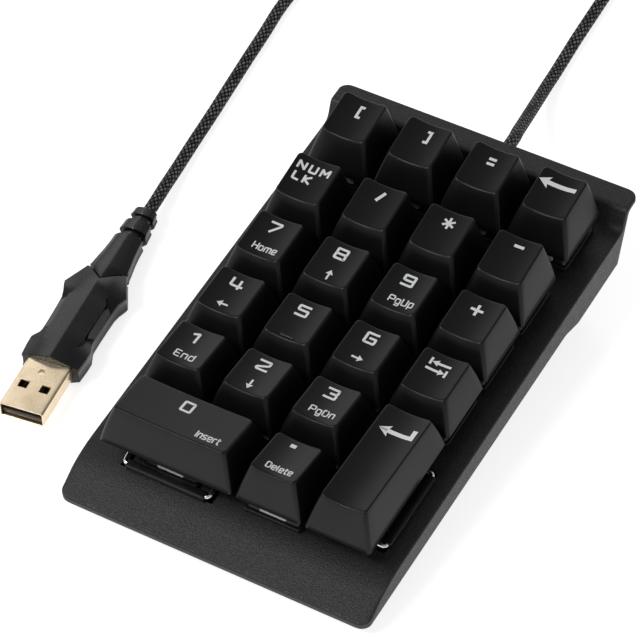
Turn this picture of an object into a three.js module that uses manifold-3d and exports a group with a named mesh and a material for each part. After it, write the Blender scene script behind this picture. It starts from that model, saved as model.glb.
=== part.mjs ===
// Mechanical numeric keypad: 22 keys on a wedge-shaped case, a braided cable and a USB-A plug.
// Millimetres, +Z up. The keypad stands on z = 0, its back edge towards +Y, and the origin is
// at the centre of its footprint. Most of it is built in the deck's own frame, a group that is
// tilted up at the back: there x is 0 on the middle line, y is 0 halfway up the six regular key
// rows, z is 0 at the keycaps' lower edges and the deck's surface lies below them.
import * as THREE from 'three';
import { mergeVertices } from 'three/addons/utils/BufferGeometryUtils.js';
import Module from 'manifold-3d';

const wasm = await Module();
wasm.setup();

const GAP = 0.3; // left between pieces that touch

// Driving dimensions of the deck and the case, in the deck's frame
const TILT = THREE.MathUtils.degToRad(6);
const PITCH = 19.05;
const DECK_Z = -5.8;
const WALL = 1.5;
const CASE = {
  halfWidth: 43, front: -69.3, frontTopZ: -9.86, frontBottomZ: -11.7, apronBend: -57.5,
  riserFoot: 62.6, riserHead: 65.2, lipZ: -0.5, back: 72, lipThickness: 1.5, underLip: 66.3,
  backBottom: 59.7, backBottomZ: -15.5, step: [31.3, -13.0, 38, -15.4], plan: 3, sideWall: 1.8,
};
const HOLE = 14.5;
const DESK_AT = { y: -53, z: -17 }; // a point of the table's surface, in the deck's frame
const FOOT = { height: 1.0, length: 52, depth: 7, front: -49, back: 40 };

// Places of the deck's frame in the keypad's own frame
const deskZ = (y) => DESK_AT.z - (y - DESK_AT.y) * Math.tan(TILT);
const LIFT = -(DESK_AT.y * Math.sin(TILT) + DESK_AT.z * Math.cos(TILT));
const alongDesk = (y, z) => y * Math.cos(TILT) - z * Math.sin(TILT);
const CENTRING = -(alongDesk(CASE.front, CASE.frontTopZ)
  + alongDesk(CASE.back, CASE.lipZ - CASE.lipThickness)) / 2;

// Key columns and rows: each row has its own cap profile, given by the top's front and back
// edges as [y from the key's centre, z]
const column = (i) => (i - 1.5) * PITCH;
const row = (i) => (i - 2.5) * PITCH;
const ROWS = [
  { y: row(0), front: [-5.18, 10.35], back: [8.19, 7.96] },
  { y: row(1), front: [-4.94, 9.39], back: [8.33, 7.91] },
  { y: row(2), front: [-4.79, 8.30], back: [8.44, 8.22] },
  { y: row(3), front: [-4.93, 9.20], back: [8.32, 9.60] },
  { y: row(4), front: [-4.43, 10.33], back: [8.48, 11.96] },
  { y: row(5) + 4.3, front: [-4.33, 10.02], back: [8.54, 11.54] },
];
const LAYOUT = [
  [['0', 0.5, 2], ['decimal', 2], null],
  [['1', 0], ['2', 1], ['3', 2]],
  [['4', 0], ['5', 1], ['6', 2], ['tab', 3]],
  [['7', 0], ['8', 1], ['9', 2], ['plus', 3]],
  [['num_lock', 0], ['divide', 1], ['multiply', 2], ['minus', 3]],
  [['bracket_left', 0], ['bracket_right', 1], ['equals', 2], ['backspace', 3]],
];
const CAP = { base: 9.05, top: 6.06, corner: 1.0, wall: 1.35, roof: 1.5, dish: 0.9 };
const ENTER = { y: (row(0) + row(1)) / 2, front: [-14.3, 10.0], back: [17.9, 7.9] };
const TRAVEL = 4;

const SWITCH = { body: 6.95, flange: 7.8, flangeZ: 1.0, neck: [7.2, 7.0], top: [5.4, 4.7], height: 6.6,
  depth: 5.0, cavity: [3.75, 3.15], cavityFloor: -9.9 };
const SLIDER = { halfX: 3.35, halfY: 2.75, bottom: -5.6, shoulder: 1.2, boss: 2.75 };
const STABILISER = { reach: 11.9, arm: 9.2, wire: 0.65, barZ: -4.95, slot: 1.7 };
const POST = { half: 1.5, bottom: -1.75 };
const BOARD = { halfX: 37.5, front: -56.5, back: 56.5, top: -11.1, thickness: 1.6 };
const TUB = { rimZ: -11.3, shoulderZ: -13.2, halfX: 40.8, front: -66.9, back: 58.6, footHalfX: 37,
  footFront: -62, footBack: 52, wall: 1.6, floor: 1.4, corner: 3 };

// The cable, in the keypad's own frame
const CABLE = 3.5;
const GLAND = { z: 16.5, inner: 58.0, bore: 3.6, hole: 4.0, collar: 63.0, end: 78 };
const LYING = 1.8; // the cable's middle where it lies on the table
const COIL = { x: -43.2, y: 186.6, inner: 12.65, outer: 30.15, height: 7.0 };
const FROM_KEYPAD = [
  [0, 78.3, 16.5], [-0.3, 82, 16.2], [-1.0, 86, 15.1], [-2.1, 90, 13.6], [-3.6, 96, 11.1],
  [-5.1, 102, 8.6], [-6.5, 108, 6.4], [-7.8, 114, 4.5], [-8.9, 120, 3.1], [-9.7, 126, 2.2],
  [-10.4, 132, LYING], [-11.3, 142, LYING], [-12.0, 152, LYING], [-12.7, 162, LYING],
  [-13.2, 168.4, LYING],
];
const TO_PLUG = [
  [-75.1, 181.3, 4.6], [-78.2, 171.5, 3.0], [-81.6, 161, 2.0], [-84.8, 150.5, LYING],
  [-87.4, 140, LYING], [-89.0, 130, LYING], [-89.4, 121, LYING], [-88.9, 113, LYING],
  [-87.5, 103, LYING], [-86.0, 91, LYING], [-84.4, 79, LYING], [-82.8, 67, LYING],
  [-81.3, 55, 1.9], [-79.6, 44, 2.4], [-78.2, 36, 3.3], [-76.9, 29.5, 4.1], [-76.17, 24.3, 4.3],
];
const PLUG = { x: -67.9, y: -34.7, z: 4.3, turn: THREE.MathUtils.degToRad(8) };
const SHELL = { halfX: 6, halfZ: 2.25, length: 17, wall: 0.4 };
const INSULATOR = { halfX: 5.45, top: 0, bottom: -1.8, length: 16.2 };
const GRIP = { halfZ: 4.1, ridge: 1.2, notch: 29.9 };

// ---- Materials ----
const plastic = (color, roughness) => new THREE.MeshStandardMaterial({ color, roughness, metalness: 0 });
const metal = (color, roughness) => new THREE.MeshStandardMaterial({ color, roughness, metalness: 1 });
const capMaterial = plastic(0x1b1b1d, 0.55);
const caseMaterial = plastic(0x1d1e20, 0.7);
const tubMaterial = plastic(0x18181a, 0.6);
const switchMaterial = plastic(0x8d8f92, 0.3);
const boardMaterial = plastic(0x14301f, 0.5);
const rubberMaterial = plastic(0x101010, 0.9);
const braidMaterial = plastic(0x141414, 0.8);
const chromeMaterial = metal(0xd5d5d5, 0.15);
const goldMaterial = metal(0xc9a36a, 0.3);
const insulatorMaterial = plastic(0xe6e3da, 0.4);

// ---- Making solids ----
const keypad = new THREE.Group();
const deck = new THREE.Group();
deck.rotation.x = TILT;
deck.position.set(0, CENTRING, LIFT);
keypad.add(deck);

function place(parent, name, geometry, material) {
  const mesh = new THREE.Mesh(geometry, material);
  mesh.name = name;
  parent.add(mesh);
  return mesh;
}

function solid(geometry) {
  geometry.deleteAttribute('normal');
  geometry.deleteAttribute('uv');
  const merged = mergeVertices(geometry, 1e-4);
  return new wasm.Manifold(new wasm.Mesh({
    numProp: 3,
    vertProperties: new Float32Array(merged.attributes.position.array),
    triVerts: new Uint32Array(merged.index.array),
  }));
}

function geometryOf(manifold) {
  const mesh = manifold.getMesh();
  const geometry = new THREE.BufferGeometry();
  geometry.setAttribute('position', new THREE.BufferAttribute(mesh.vertProperties, 3));
  geometry.setIndex(new THREE.BufferAttribute(mesh.triVerts, 1));
  geometry.computeVertexNormals();
  return geometry;
}

// A closed skin through rings of [x, y, z] points, each anticlockwise from above, lowest first;
// crown moves the middle of the last ring's cap up or down
function loft(rings, crown = 0) {
  const count = rings[0].length;
  const middle = (ring, rise) => {
    const sum = ring.reduce((a, p) => a.map((v, i) => v + p[i]), [0, 0, 0]);
    return [sum[0] / count, sum[1] / count, sum[2] / count + rise];
  };
  const points = [...rings.flat(), middle(rings[0], 0), middle(rings.at(-1), crown)];
  const low = rings.length * count;
  const index = [];
  for (let i = 0; i < count; i += 1) {
    const next = (i + 1) % count;
    for (let r = 0; r < rings.length - 1; r += 1) {
      const [a, b, c, d] = [r * count + i, r * count + next, (r + 1) * count + next, (r + 1) * count + i];
      index.push(a, b, c, a, c, d);
    }
    index.push(low, next, i, low + 1, low - count + i, low - count + next);
  }
  const geometry = new THREE.BufferGeometry();
  geometry.setAttribute('position', new THREE.Float32BufferAttribute(points.flat(), 3));
  geometry.setIndex(index);
  return geometry;
}

// A ring of a rounded rectangle from [x0, x1] to [y0, y1]; height is a function of x and y.
// extra adds points along the two edges that run along X.
function ring([x0, x1], [y0, y1], corner, height, extra = 0) {
  const points = [];
  const corners = [[x1 - corner, y0 + corner, -90], [x1 - corner, y1 - corner, 0],
    [x0 + corner, y1 - corner, 90], [x0 + corner, y0 + corner, 180]];
  const along = (y, from, to) => {
    for (let i = 1; i <= extra; i += 1) points.push([from + (to - from) * i / (extra + 1), y]);
  };
  corners.forEach(([cx, cy, start], i) => {
    if (i === 2) along(y1, x1 - corner, x0 + corner);
    for (const step of [0, 45, 90]) {
      const a = THREE.MathUtils.degToRad(start + step);
      points.push([cx + corner * Math.cos(a), cy + corner * Math.sin(a)]);
    }
  });
  along(y0, x0 + corner, x1 - corner);
  return points.map(([x, y]) => [x, y, height(x, y)]);
}

function box([x0, x1], [y0, y1], [z0, z1]) {
  const geometry = new THREE.BoxGeometry(x1 - x0, y1 - y0, z1 - z0);
  return geometry.translate((x0 + x1) / 2, (y0 + y1) / 2, (z0 + z1) / 2);
}

// A side outline of [y, z, rounding] corners, extruded along X
function sideExtrusion(corners, halfWidth) {
  const shape = new THREE.Shape();
  const at = (p, q, r) => {
    const d = Math.hypot(q[0] - p[0], q[1] - p[1]);
    return [p[0] + (q[0] - p[0]) * r / d, p[1] + (q[1] - p[1]) * r / d];
  };
  corners.forEach((corner, i) => {
    const before = corners[(i + corners.length - 1) % corners.length];
    const after = corners[(i + 1) % corners.length];
    const [from, to] = [at(corner, before, corner[2] || 0), at(corner, after, corner[2] || 0)];
    if (i === 0) shape.moveTo(...from);
    else shape.lineTo(...from);
    if (corner[2]) shape.quadraticCurveTo(corner[0], corner[1], ...to);
  });
  shape.closePath();
  const geometry = new THREE.ExtrudeGeometry(shape, { depth: 2 * halfWidth, bevelEnabled: false, curveSegments: 4 });
  geometry.translate(0, 0, -halfWidth);
  const turned = new THREE.Matrix4().makeBasis(
    new THREE.Vector3(0, 1, 0), new THREE.Vector3(0, 0, 1), new THREE.Vector3(1, 0, 0));
  return geometry.applyMatrix4(turned);
}

// A round bar or tube along a path
function rod(path, radius, sides, steps) {
  const section = new THREE.Shape();
  for (let i = 0; i < sides; i += 1) {
    const a = 2 * Math.PI * i / sides;
    section[i ? 'lineTo' : 'moveTo'](radius * Math.cos(a), radius * Math.sin(a));
  }
  section.closePath();
  return new THREE.ExtrudeGeometry(section, { steps, extrudePath: path, bevelEnabled: false });
}

// ---- Keys ----
const keys = LAYOUT.flatMap((names, r) => names.filter(Boolean).map(([name, c, units = 1]) => ({
  name, x: column(c), y: ROWS[r].y, front: ROWS[r].front, back: ROWS[r].back,
  spareX: (units - 1) * PITCH / 2, spareY: 0, dish: units > 1 ? CAP.dish / 2 : CAP.dish,
})));
keys.push({ name: 'enter', x: column(3), y: ENTER.y, front: ENTER.front, back: ENTER.back,
  spareX: 0, spareY: PITCH / 2, dish: CAP.dish });

// A hollow cap with a scooped top, and the switch's slider that it is pressed onto
function keycap({ front, back, spareX, spareY, dish }) {
  const base = [CAP.base + spareX, CAP.base + spareY];
  const top = CAP.top + spareX;
  const slope = (back[1] - front[1]) / (back[0] - front[0]);
  const face = (x, y) => front[1] + (y - front[0]) * slope - dish * (1 - (x / top) ** 2);
  const outer = solid(loft([
    ring([-base[0], base[0]], [-base[1], base[1]], CAP.corner, () => 0, 3),
    ring([-top, top], [front[0], back[0]], CAP.corner, face, 3),
  ], -dish / 3));
  const roof = Math.min(front[1], back[1]) - dish - CAP.roof;
  const share = roof / Math.min(front[1], back[1]);
  const lean = (low, high) => low + (high - low) * share;
  const low = [base[0] - CAP.wall, base[1] - CAP.wall];
  const hollow = solid(loft([
    ring([-low[0], low[0]], [-low[1], low[1]], CAP.corner / 2, () => -0.01),
    ring([-lean(low[0], top - CAP.wall), lean(low[0], top - CAP.wall)],
      [lean(-low[1], front[0] + CAP.wall), lean(low[1], back[0] - CAP.wall)], CAP.corner / 2, () => roof),
  ]));
  const boss = new THREE.CylinderGeometry(SLIDER.boss, SLIDER.boss, roof + 0.5 - SLIDER.shoulder, 12);
  boss.rotateX(Math.PI / 2).translate(0, 0, (roof + 0.5 + SLIDER.shoulder) / 2);
  const slider = box([-SLIDER.halfX, SLIDER.halfX], [-SLIDER.halfY, SLIDER.halfY],
    [SLIDER.bottom, SLIDER.shoulder + 0.4]);
  let cap = outer.subtract(hollow).add(solid(boss)).add(solid(slider));
  for (const side of [-1, 1]) {
    if (!spareX && !spareY) break;
    const [px, py] = spareX ? [side * STABILISER.reach, 0] : [0, side * STABILISER.reach];
    cap = cap.add(solid(box([px - POST.half, px + POST.half], [py - POST.half, py + POST.half],
      [POST.bottom, roof + 0.5])));
  }
  return geometryOf(cap);
}

// A switch: square body through the deck, flange on it, and a leaning upper housing
const switchBody = (() => {
  const square = (half, z) => ring([-half[0], half[0]], [-half[1], half[1]], 0.6, () => z);
  const { body, flange, flangeZ, neck, top, height, depth, cavity, cavityFloor } = SWITCH;
  const lower = solid(loft([square([body, body], DECK_Z - depth), square([body, body], DECK_Z + GAP)]));
  const rim = solid(loft([square([flange, flange], DECK_Z + GAP), square([flange, flange], DECK_Z + GAP + flangeZ)]));
  const upper = solid(loft([square(neck, DECK_Z + GAP + flangeZ), square(top, DECK_Z + height)]));
  const well = solid(box([-cavity[0], cavity[0]], [-cavity[1], cavity[1]], [cavityFloor, DECK_Z + height + 1]));
  return lower.add(rim).add(upper).subtract(well);
})();

for (const key of keys) {
  place(deck, `keycap_${key.name}`, keycap(key), capMaterial).position.set(key.x, key.y, 0);
  place(deck, `switch_${key.name}`, geometryOf(switchBody), switchMaterial).position.set(key.x, key.y, 0);
}

// ---- Stabiliser wires under the two double keys ----
// A bar along X with two arms towards +Y; it turns about the bar, so its arms point up at rest
const wireRise = Math.asin(TRAVEL / 2 / STABILISER.arm);
function stabiliserWire() {
  const { reach, arm, wire } = STABILISER;
  const bend = 1.2;
  const tip = arm - wire;
  const path = new THREE.CurvePath();
  const corner = (x) => new THREE.Vector3(x, 0, 0);
  path.add(new THREE.LineCurve3(new THREE.Vector3(-reach, tip, 0), new THREE.Vector3(-reach, bend, 0)));
  path.add(new THREE.QuadraticBezierCurve3(path.curves.at(-1).v2, corner(-reach), corner(-reach + bend)));
  path.add(new THREE.LineCurve3(corner(-reach + bend), corner(reach - bend)));
  path.add(new THREE.QuadraticBezierCurve3(corner(reach - bend), corner(reach), new THREE.Vector3(reach, bend, 0)));
  path.add(new THREE.LineCurve3(path.curves.at(-1).v2, new THREE.Vector3(reach, tip, 0)));
  return rod(path, wire, 8, 40).rotateX(wireRise);
}
const zero = keys.find((key) => key.name === '0');
const enter = keys.find((key) => key.name === 'enter');
place(deck, 'stabiliser_wire_0', stabiliserWire(), chromeMaterial)
  .position.set(zero.x, zero.y - STABILISER.arm * Math.cos(wireRise), STABILISER.barZ);
const enterWire = place(deck, 'stabiliser_wire_enter', stabiliserWire(), chromeMaterial);
enterWire.position.set(enter.x + STABILISER.arm * Math.cos(wireRise), enter.y, STABILISER.barZ);
enterWire.rotation.z = Math.PI / 2;

// ---- Upper case: deck, sloping apron, raised back lip and side walls in one moulding ----
function upperCase() {
  const c = CASE;
  const [stepFront, stepFrontZ, stepBack, stepBackZ] = c.step;
  const outline = [
    [c.front, c.frontBottomZ], [c.front, c.frontTopZ, 0.5], [c.apronBend, DECK_Z, 4],
    [c.riserFoot, DECK_Z, 2], [c.riserHead, c.lipZ, 1], [c.back, c.lipZ, 0.3],
    [c.back, c.lipZ - c.lipThickness, 0.3], [c.underLip, c.lipZ - c.lipThickness, 1],
    [c.backBottom, c.backBottomZ], [stepBack, stepBackZ], [stepFront, stepFrontZ],
  ];
  const lean = (c.underLip - c.backBottom) / (c.lipZ - c.lipThickness - c.backBottomZ);
  const backWall = (z) => c.backBottom + (z - c.backBottomZ) * lean - 2;
  const apron = (DECK_Z - c.frontTopZ) / (c.apronBend - c.front);
  const inner = [
    [c.front + 2, -30], [c.front + 2, c.frontTopZ + 2 * apron - WALL], [c.apronBend, DECK_Z - WALL],
    [backWall(DECK_Z - WALL), DECK_Z - WALL], [backWall(-30), -30],
  ];
  const plan = new THREE.Shape();
  ring([-c.halfWidth, c.halfWidth], [c.front, c.back], c.plan, () => 0)
    .forEach(([x, y], i) => plan[i ? 'lineTo' : 'moveTo'](x, y));
  plan.closePath();
  const footprint = new THREE.ExtrudeGeometry(plan, { depth: 60, bevelEnabled: false }).translate(0, 0, -50);
  let shell = solid(sideExtrusion(outline.reverse(), c.halfWidth + 1)).intersect(solid(footprint))
    .subtract(solid(sideExtrusion(inner.reverse(), c.halfWidth - c.sideWall)));
  const cut = (x, y, halfX, halfY) => {
    shell = shell.subtract(solid(box([x - halfX, x + halfX], [y - halfY, y + halfY], [DECK_Z - 3, DECK_Z + 3])));
  };
  for (const key of keys) cut(key.x, key.y, HOLE / 2, HOLE / 2);
  for (const side of [-1, 1]) {
    const { reach, slot, arm } = STABILISER;
    cut(zero.x + side * reach, zero.y - arm / 2 + 1, slot, arm / 2 + 1.2);
    cut(enter.x + arm / 2 - 1, enter.y + side * reach, arm / 2 + 1.2, slot);
  }
  const outlet = new THREE.CylinderGeometry(GLAND.hole, GLAND.hole, 24, 16);
  outlet.rotateX(-TILT).translate(0, 66, deckPoint(66 + CENTRING, GLAND.z).z);
  return geometryOf(shell.subtract(solid(outlet)));
}

// A point of the keypad's own middle plane, in the deck's frame
function deckPoint(y, z) {
  const point = new THREE.Vector3(0, y - CENTRING, z - LIFT);
  return point.applyAxisAngle(new THREE.Vector3(1, 0, 0), -TILT);
}
place(deck, 'upper_case', upperCase(), caseMaterial);

// ---- Lower case: a tub that closes the bottom and makes the wedge ----
function lowerCase() {
  const t = TUB;
  const bottom = (y) => deskZ(y) + (FOOT.height + GAP) / Math.cos(TILT);
  const rings = (inset, floor) => [
    ring([-t.footHalfX + inset, t.footHalfX - inset], [t.footFront + inset, t.footBack - inset], t.corner,
      (x, y) => bottom(y) + floor),
    ring([-t.halfX + inset, t.halfX - inset], [t.front + inset, t.back - inset], t.corner, () => t.shoulderZ),
    ring([-t.halfX + inset, t.halfX - inset], [t.front + inset, t.back - inset], t.corner,
      () => t.rimZ + (inset ? 0.01 : 0)),
  ];
  return geometryOf(solid(loft(rings(0, 0))).subtract(solid(loft(rings(t.wall, t.floor)))));
}
place(deck, 'lower_case', lowerCase(), tubMaterial);

place(deck, 'circuit_board', box([-BOARD.halfX, BOARD.halfX], [BOARD.front, BOARD.back],
  [BOARD.top - BOARD.thickness, BOARD.top]), boardMaterial);

for (const [name, y] of [['front_foot', FOOT.front], ['back_foot', FOOT.back]]) {
  const strip = loft([0, FOOT.height].map((z) => ring([-FOOT.length / 2, FOOT.length / 2],
    [y - FOOT.depth / 2, y + FOOT.depth / 2], FOOT.depth / 3, () => z)));
  place(keypad, name, geometryOf(solid(strip)), rubberMaterial);
}

// ---- Cable outlet, cable and coil ----
function turnedAlongY(profile, segments) {
  const outline = profile.map(([r, y]) => new THREE.Vector2(r, y));
  return geometryOf(solid(new THREE.LatheGeometry(outline, segments)));
}
place(keypad, 'cable_gland', turnedAlongY([
  [0, GLAND.inner], [GLAND.bore, GLAND.inner], [GLAND.bore, GLAND.collar], [4.6, GLAND.collar],
  [4.6, GLAND.collar + 1.6], [3.5, GLAND.collar + 1.6], [3.2, GLAND.end - 7], [2.4, GLAND.end - 7],
  [2.4, GLAND.end - 5.5], [3.1, GLAND.end - 5.5], [2.9, GLAND.end - 3], [2.4, GLAND.end - 3],
  [2.4, GLAND.end - 2], [2.8, GLAND.end - 2], [2.6, GLAND.end], [0, GLAND.end],
], 16), rubberMaterial).position.z = GLAND.z;

for (const [name, route] of [['cable_from_keypad', FROM_KEYPAD], ['cable_to_plug', TO_PLUG]]) {
  const path = new THREE.CatmullRomCurve3(route.map((p) => new THREE.Vector3(...p)));
  place(keypad, name, rod(path, CABLE / 2, 8, Math.round(path.getLength() / (2 * CABLE))), braidMaterial);
}
const coilRing = new THREE.LatheGeometry([[COIL.inner, 0], [COIL.outer, 0], [COIL.outer, COIL.height],
  [COIL.inner, COIL.height], [COIL.inner, 0]].map(([r, z]) => new THREE.Vector2(r, z)), 48);
coilRing.rotateX(Math.PI / 2);
place(keypad, 'cable_coil', geometryOf(solid(coilRing)), braidMaterial).position.set(COIL.x, COIL.y, 0.05);

// ---- USB plug: its own frame has the cable towards +Y and the tip towards -Y ----
const plug = new THREE.Group();
plug.position.set(PLUG.x, PLUG.y, PLUG.z);
plug.rotation.z = PLUG.turn;
keypad.add(plug);

function usbShell() {
  const { halfX, halfZ, length, wall } = SHELL;
  const outer = box([-halfX, halfX], [-length, -GAP], [-halfZ, halfZ]);
  const bore = box([-halfX + wall, halfX - wall], [-length - 1, -GAP - wall], [-halfZ + wall, halfZ - wall]);
  let shell = solid(outer).subtract(solid(bore));
  for (const side of [-1, 1]) {
    shell = shell.subtract(solid(box([side * 2.9 - 1.1, side * 2.9 + 1.1], [-10.2, -7.7], [halfZ - 1, halfZ + 1])));
  }
  return geometryOf(shell);
}
place(plug, 'usb_shell', usbShell(), goldMaterial);
place(plug, 'usb_insulator', box([-INSULATOR.halfX, INSULATOR.halfX], [-INSULATOR.length, -1.0],
  [INSULATOR.bottom + 0.25, INSULATOR.top - 0.1]), insulatorMaterial);

// A body of plan half-widths [y, half] with a chamfered ridge along the middle of its top and bottom
function plugBody(stations, halfZ, ridge) {
  const section = ([y, half]) => {
    const flat = Math.min(half, halfZ + 3);
    return [[half, halfZ / 2], [flat * 0.6, halfZ - ridge / 2], [0, halfZ], [-flat * 0.6, halfZ - ridge / 2],
      [-half, halfZ / 2], [-half, -halfZ / 2], [-flat * 0.6, -halfZ], [flat * 0.6, -halfZ],
      [half, -halfZ / 2]].map(([x, z]) => [x, z, -y]);
  };
  return loft(stations.map(section).reverse()).rotateX(Math.PI / 2);
}
const wedge = (y, far) => {
  const shape = new THREE.Shape([[-9, y + 8.2], [0, y], [9, y + 8.2], [9, far], [-9, far]]
    .map(([x, py]) => new THREE.Vector2(x, py)));
  return solid(new THREE.ExtrudeGeometry(shape, { depth: 20, bevelEnabled: false }).translate(0, 0, -10));
};
const grip = solid(plugBody([[0, 7.6], [2, 8.1], [7.5, 8.3], [10.5, 7.1], [23.5, 7.4], [27.5, 8.8], [35, 5.4]],
  GRIP.halfZ, GRIP.ridge));
place(plug, 'plug_grip', geometryOf(grip.subtract(wedge(GRIP.notch, 50))), rubberMaterial);
const boot = solid(plugBody([[30, 5.4], [36, 5.3], [42, 4.4], [48, 3.9], [48.3, 2.5], [50.3, 2.5], [50.6, 3.8],
  [54.2, 3.6], [54.5, 2.4], [56.3, 2.4], [56.6, 3.3], [59.2, 3.1]], 3.3, 0.8));
place(plug, 'plug_boot', geometryOf(boot.intersect(wedge(GRIP.notch + GAP + 0.1, 70))), rubberMaterial);

export default keypad;
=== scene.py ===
# Looks of a 22-key mechanical numeric keypad, its braided cable and its USB-A plug.
# Shapes are written in millimetres, in one of three frames: the keypad's own (the packed
# frame), the tilted deck's, and the plug's. Everything is turned into metres when it is built.
import math

import bmesh
import bpy
import numpy as np
from mathutils import Matrix, Vector


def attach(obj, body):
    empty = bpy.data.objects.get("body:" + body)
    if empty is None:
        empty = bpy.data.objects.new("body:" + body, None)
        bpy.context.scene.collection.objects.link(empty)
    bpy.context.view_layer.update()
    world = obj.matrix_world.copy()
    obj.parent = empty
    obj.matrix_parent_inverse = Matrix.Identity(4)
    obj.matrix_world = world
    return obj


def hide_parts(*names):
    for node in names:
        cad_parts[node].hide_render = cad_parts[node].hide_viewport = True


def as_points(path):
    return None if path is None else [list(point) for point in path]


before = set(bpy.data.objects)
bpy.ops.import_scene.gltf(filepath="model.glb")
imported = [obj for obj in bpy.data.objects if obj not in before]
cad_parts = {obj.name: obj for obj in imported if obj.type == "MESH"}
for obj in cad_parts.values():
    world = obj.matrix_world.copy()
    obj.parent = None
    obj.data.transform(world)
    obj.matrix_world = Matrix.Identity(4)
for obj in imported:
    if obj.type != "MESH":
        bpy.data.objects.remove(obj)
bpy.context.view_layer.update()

MM = 0.001
CASE_BODY = "case"

# ---- Frames ----
TILT = math.radians(6)
DECK_CENTRING = -1.9625
DECK_LIFT = 22.447
KEYPAD = Matrix.Identity(4)
DECK = Matrix.Translation((0, DECK_CENTRING * MM, DECK_LIFT * MM)) @ Matrix.Rotation(TILT, 4, "X")
PLUG_PLACE = (-67.9, -34.7, 4.3)
PLUG_TURN = math.radians(8)
PLUG = Matrix.Translation(Vector(PLUG_PLACE) * MM) @ Matrix.Rotation(PLUG_TURN, 4, "Z")

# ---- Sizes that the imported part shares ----
PITCH = 19.05
DECK_Z = -5.8
CAP_BASE = 9.05
CAP_TOP = 6.06
CAP_DISH = 0.9
CAP_ROOF = 1.5
CAP_WALL = 1.35
TRAVEL = 4.0
# Each row: its place, and the cap top's front and back edges as [y, z]
ROWS = [
    (-47.625, (-5.18, 10.35), (8.19, 7.96)),
    (-28.575, (-4.94, 9.39), (8.33, 7.91)),
    (-9.525, (-4.79, 8.30), (8.44, 8.22)),
    (9.525, (-4.93, 9.20), (8.32, 9.60)),
    (28.575, (-4.43, 10.33), (8.48, 11.96)),
    (51.925, (-4.33, 10.02), (8.54, 11.54)),
]
ENTER_ROW = (-38.1, (-14.3, 10.0), (17.9, 7.9))
CABLE_D = 3.5
LYING = 1.8


def column(i):
    return (i - 1.5) * PITCH


# ---- Node materials ----
def new_material(name, color, roughness, metallic=0.0, specular=0.5):
    mat = bpy.data.materials.new(name)
    mat.use_nodes = True
    bsdf = mat.node_tree.nodes["Principled BSDF"]
    bsdf.inputs["Base Color"].default_value = (*color, 1)
    bsdf.inputs["Roughness"].default_value = roughness
    bsdf.inputs["Metallic"].default_value = metallic
    bsdf.inputs["Specular IOR Level"].default_value = specular
    return mat, bsdf


def node(mat, kind, **values):
    made = mat.node_tree.nodes.new(kind)
    for key, value in values.items():
        if key in made.inputs:
            made.inputs[key].default_value = value
        else:
            setattr(made, key, value)
    return made


def link(mat, source, target):
    mat.node_tree.links.new(source, target)


def object_noise(mat, size_mm, detail=2.0, stretch=(1, 1, 1)):
    """A noise whose features are about size_mm across, fixed to the piece."""
    at = node(mat, "ShaderNodeTexCoord")
    scaled = node(mat, "ShaderNodeMapping", Scale=stretch)
    link(mat, at.outputs["Object"], scaled.inputs["Vector"])
    noise = node(mat, "ShaderNodeTexNoise", Scale=1 / (size_mm * MM), Detail=detail)
    link(mat, scaled.outputs["Vector"], noise.inputs["Vector"])
    return noise.outputs["Fac"]


def remap(mat, value, low, high, out_low, out_high):
    ranged = node(mat, "ShaderNodeMapRange")
    for key, number in zip(("From Min", "From Max", "To Min", "To Max"), (low, high, out_low, out_high)):
        ranged.inputs[key].default_value = number
    link(mat, value, ranged.inputs["Value"])
    return ranged.outputs["Result"]


def blend_colors(mat, fac, a, b):
    mix = node(mat, "ShaderNodeMix", data_type="RGBA")
    for socket, value in ((mix.inputs[6], a), (mix.inputs[7], b)):
        if isinstance(value, tuple):
            socket.default_value = (*value, 1)
        else:
            link(mat, value, socket)
    link(mat, fac, mix.inputs[0])
    return mix.outputs[2]


def bump(mat, height, distance_mm, strength=1.0):
    made = node(mat, "ShaderNodeBump", Strength=strength, Distance=distance_mm * MM)
    link(mat, height, made.inputs["Height"])
    return made.outputs["Normal"]


SHEEN_PATCH, TARNISH_PATCH, SPECK_SIZE = 9, 4, 1.6


def moulded(
    name, color, roughness, specular=0.5, grain=0.3, depth=0.02, spread=0.08, mottle=0.15, speckle=0.0
):
    """Moulded plastic or rubber: a fine grain, soft patches of sheen and a slight mottle."""
    mat, bsdf = new_material(name, color, roughness, specular=specular)
    fine = object_noise(mat, grain, detail=3)
    patches = object_noise(mat, SHEEN_PATCH)
    darker, lighter = (tuple(c * share for c in color) for share in (1 - mottle, 1 + mottle))
    tone = blend_colors(mat, remap(mat, patches, 0.35, 0.65, 0, 1), darker, lighter)
    if speckle:
        specks = object_noise(mat, grain * SPECK_SIZE, detail=1)
        bright = tuple(min(1, c * (1 + speckle)) for c in color)
        tone = blend_colors(mat, remap(mat, specks, 0.52, 0.68, 0, 1), tone, bright)
    link(mat, tone, bsdf.inputs["Base Color"])
    rough = remap(mat, fine, 0.3, 0.7, roughness - spread, roughness + spread)
    link(mat, rough, bsdf.inputs["Roughness"])
    link(mat, bump(mat, fine, depth), bsdf.inputs["Normal"])
    return mat


def plated(name, color, tint, roughness, grain=0.25, depth=0.004):
    """Plated metal with faint rolling marks and a little tarnish."""
    mat, bsdf = new_material(name, color, roughness, metallic=1.0)
    marks = object_noise(mat, grain, detail=3, stretch=(6, 1, 1))
    cloud = object_noise(mat, TARNISH_PATCH, detail=3)
    link(mat, blend_colors(mat, remap(mat, cloud, 0.4, 0.7, 0, 1), color, tint), bsdf.inputs["Base Color"])
    link(mat, remap(mat, marks, 0.3, 0.7, roughness - 0.07, roughness + 0.09), bsdf.inputs["Roughness"])
    link(mat, bump(mat, marks, depth), bsdf.inputs["Normal"])
    return mat


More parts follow.
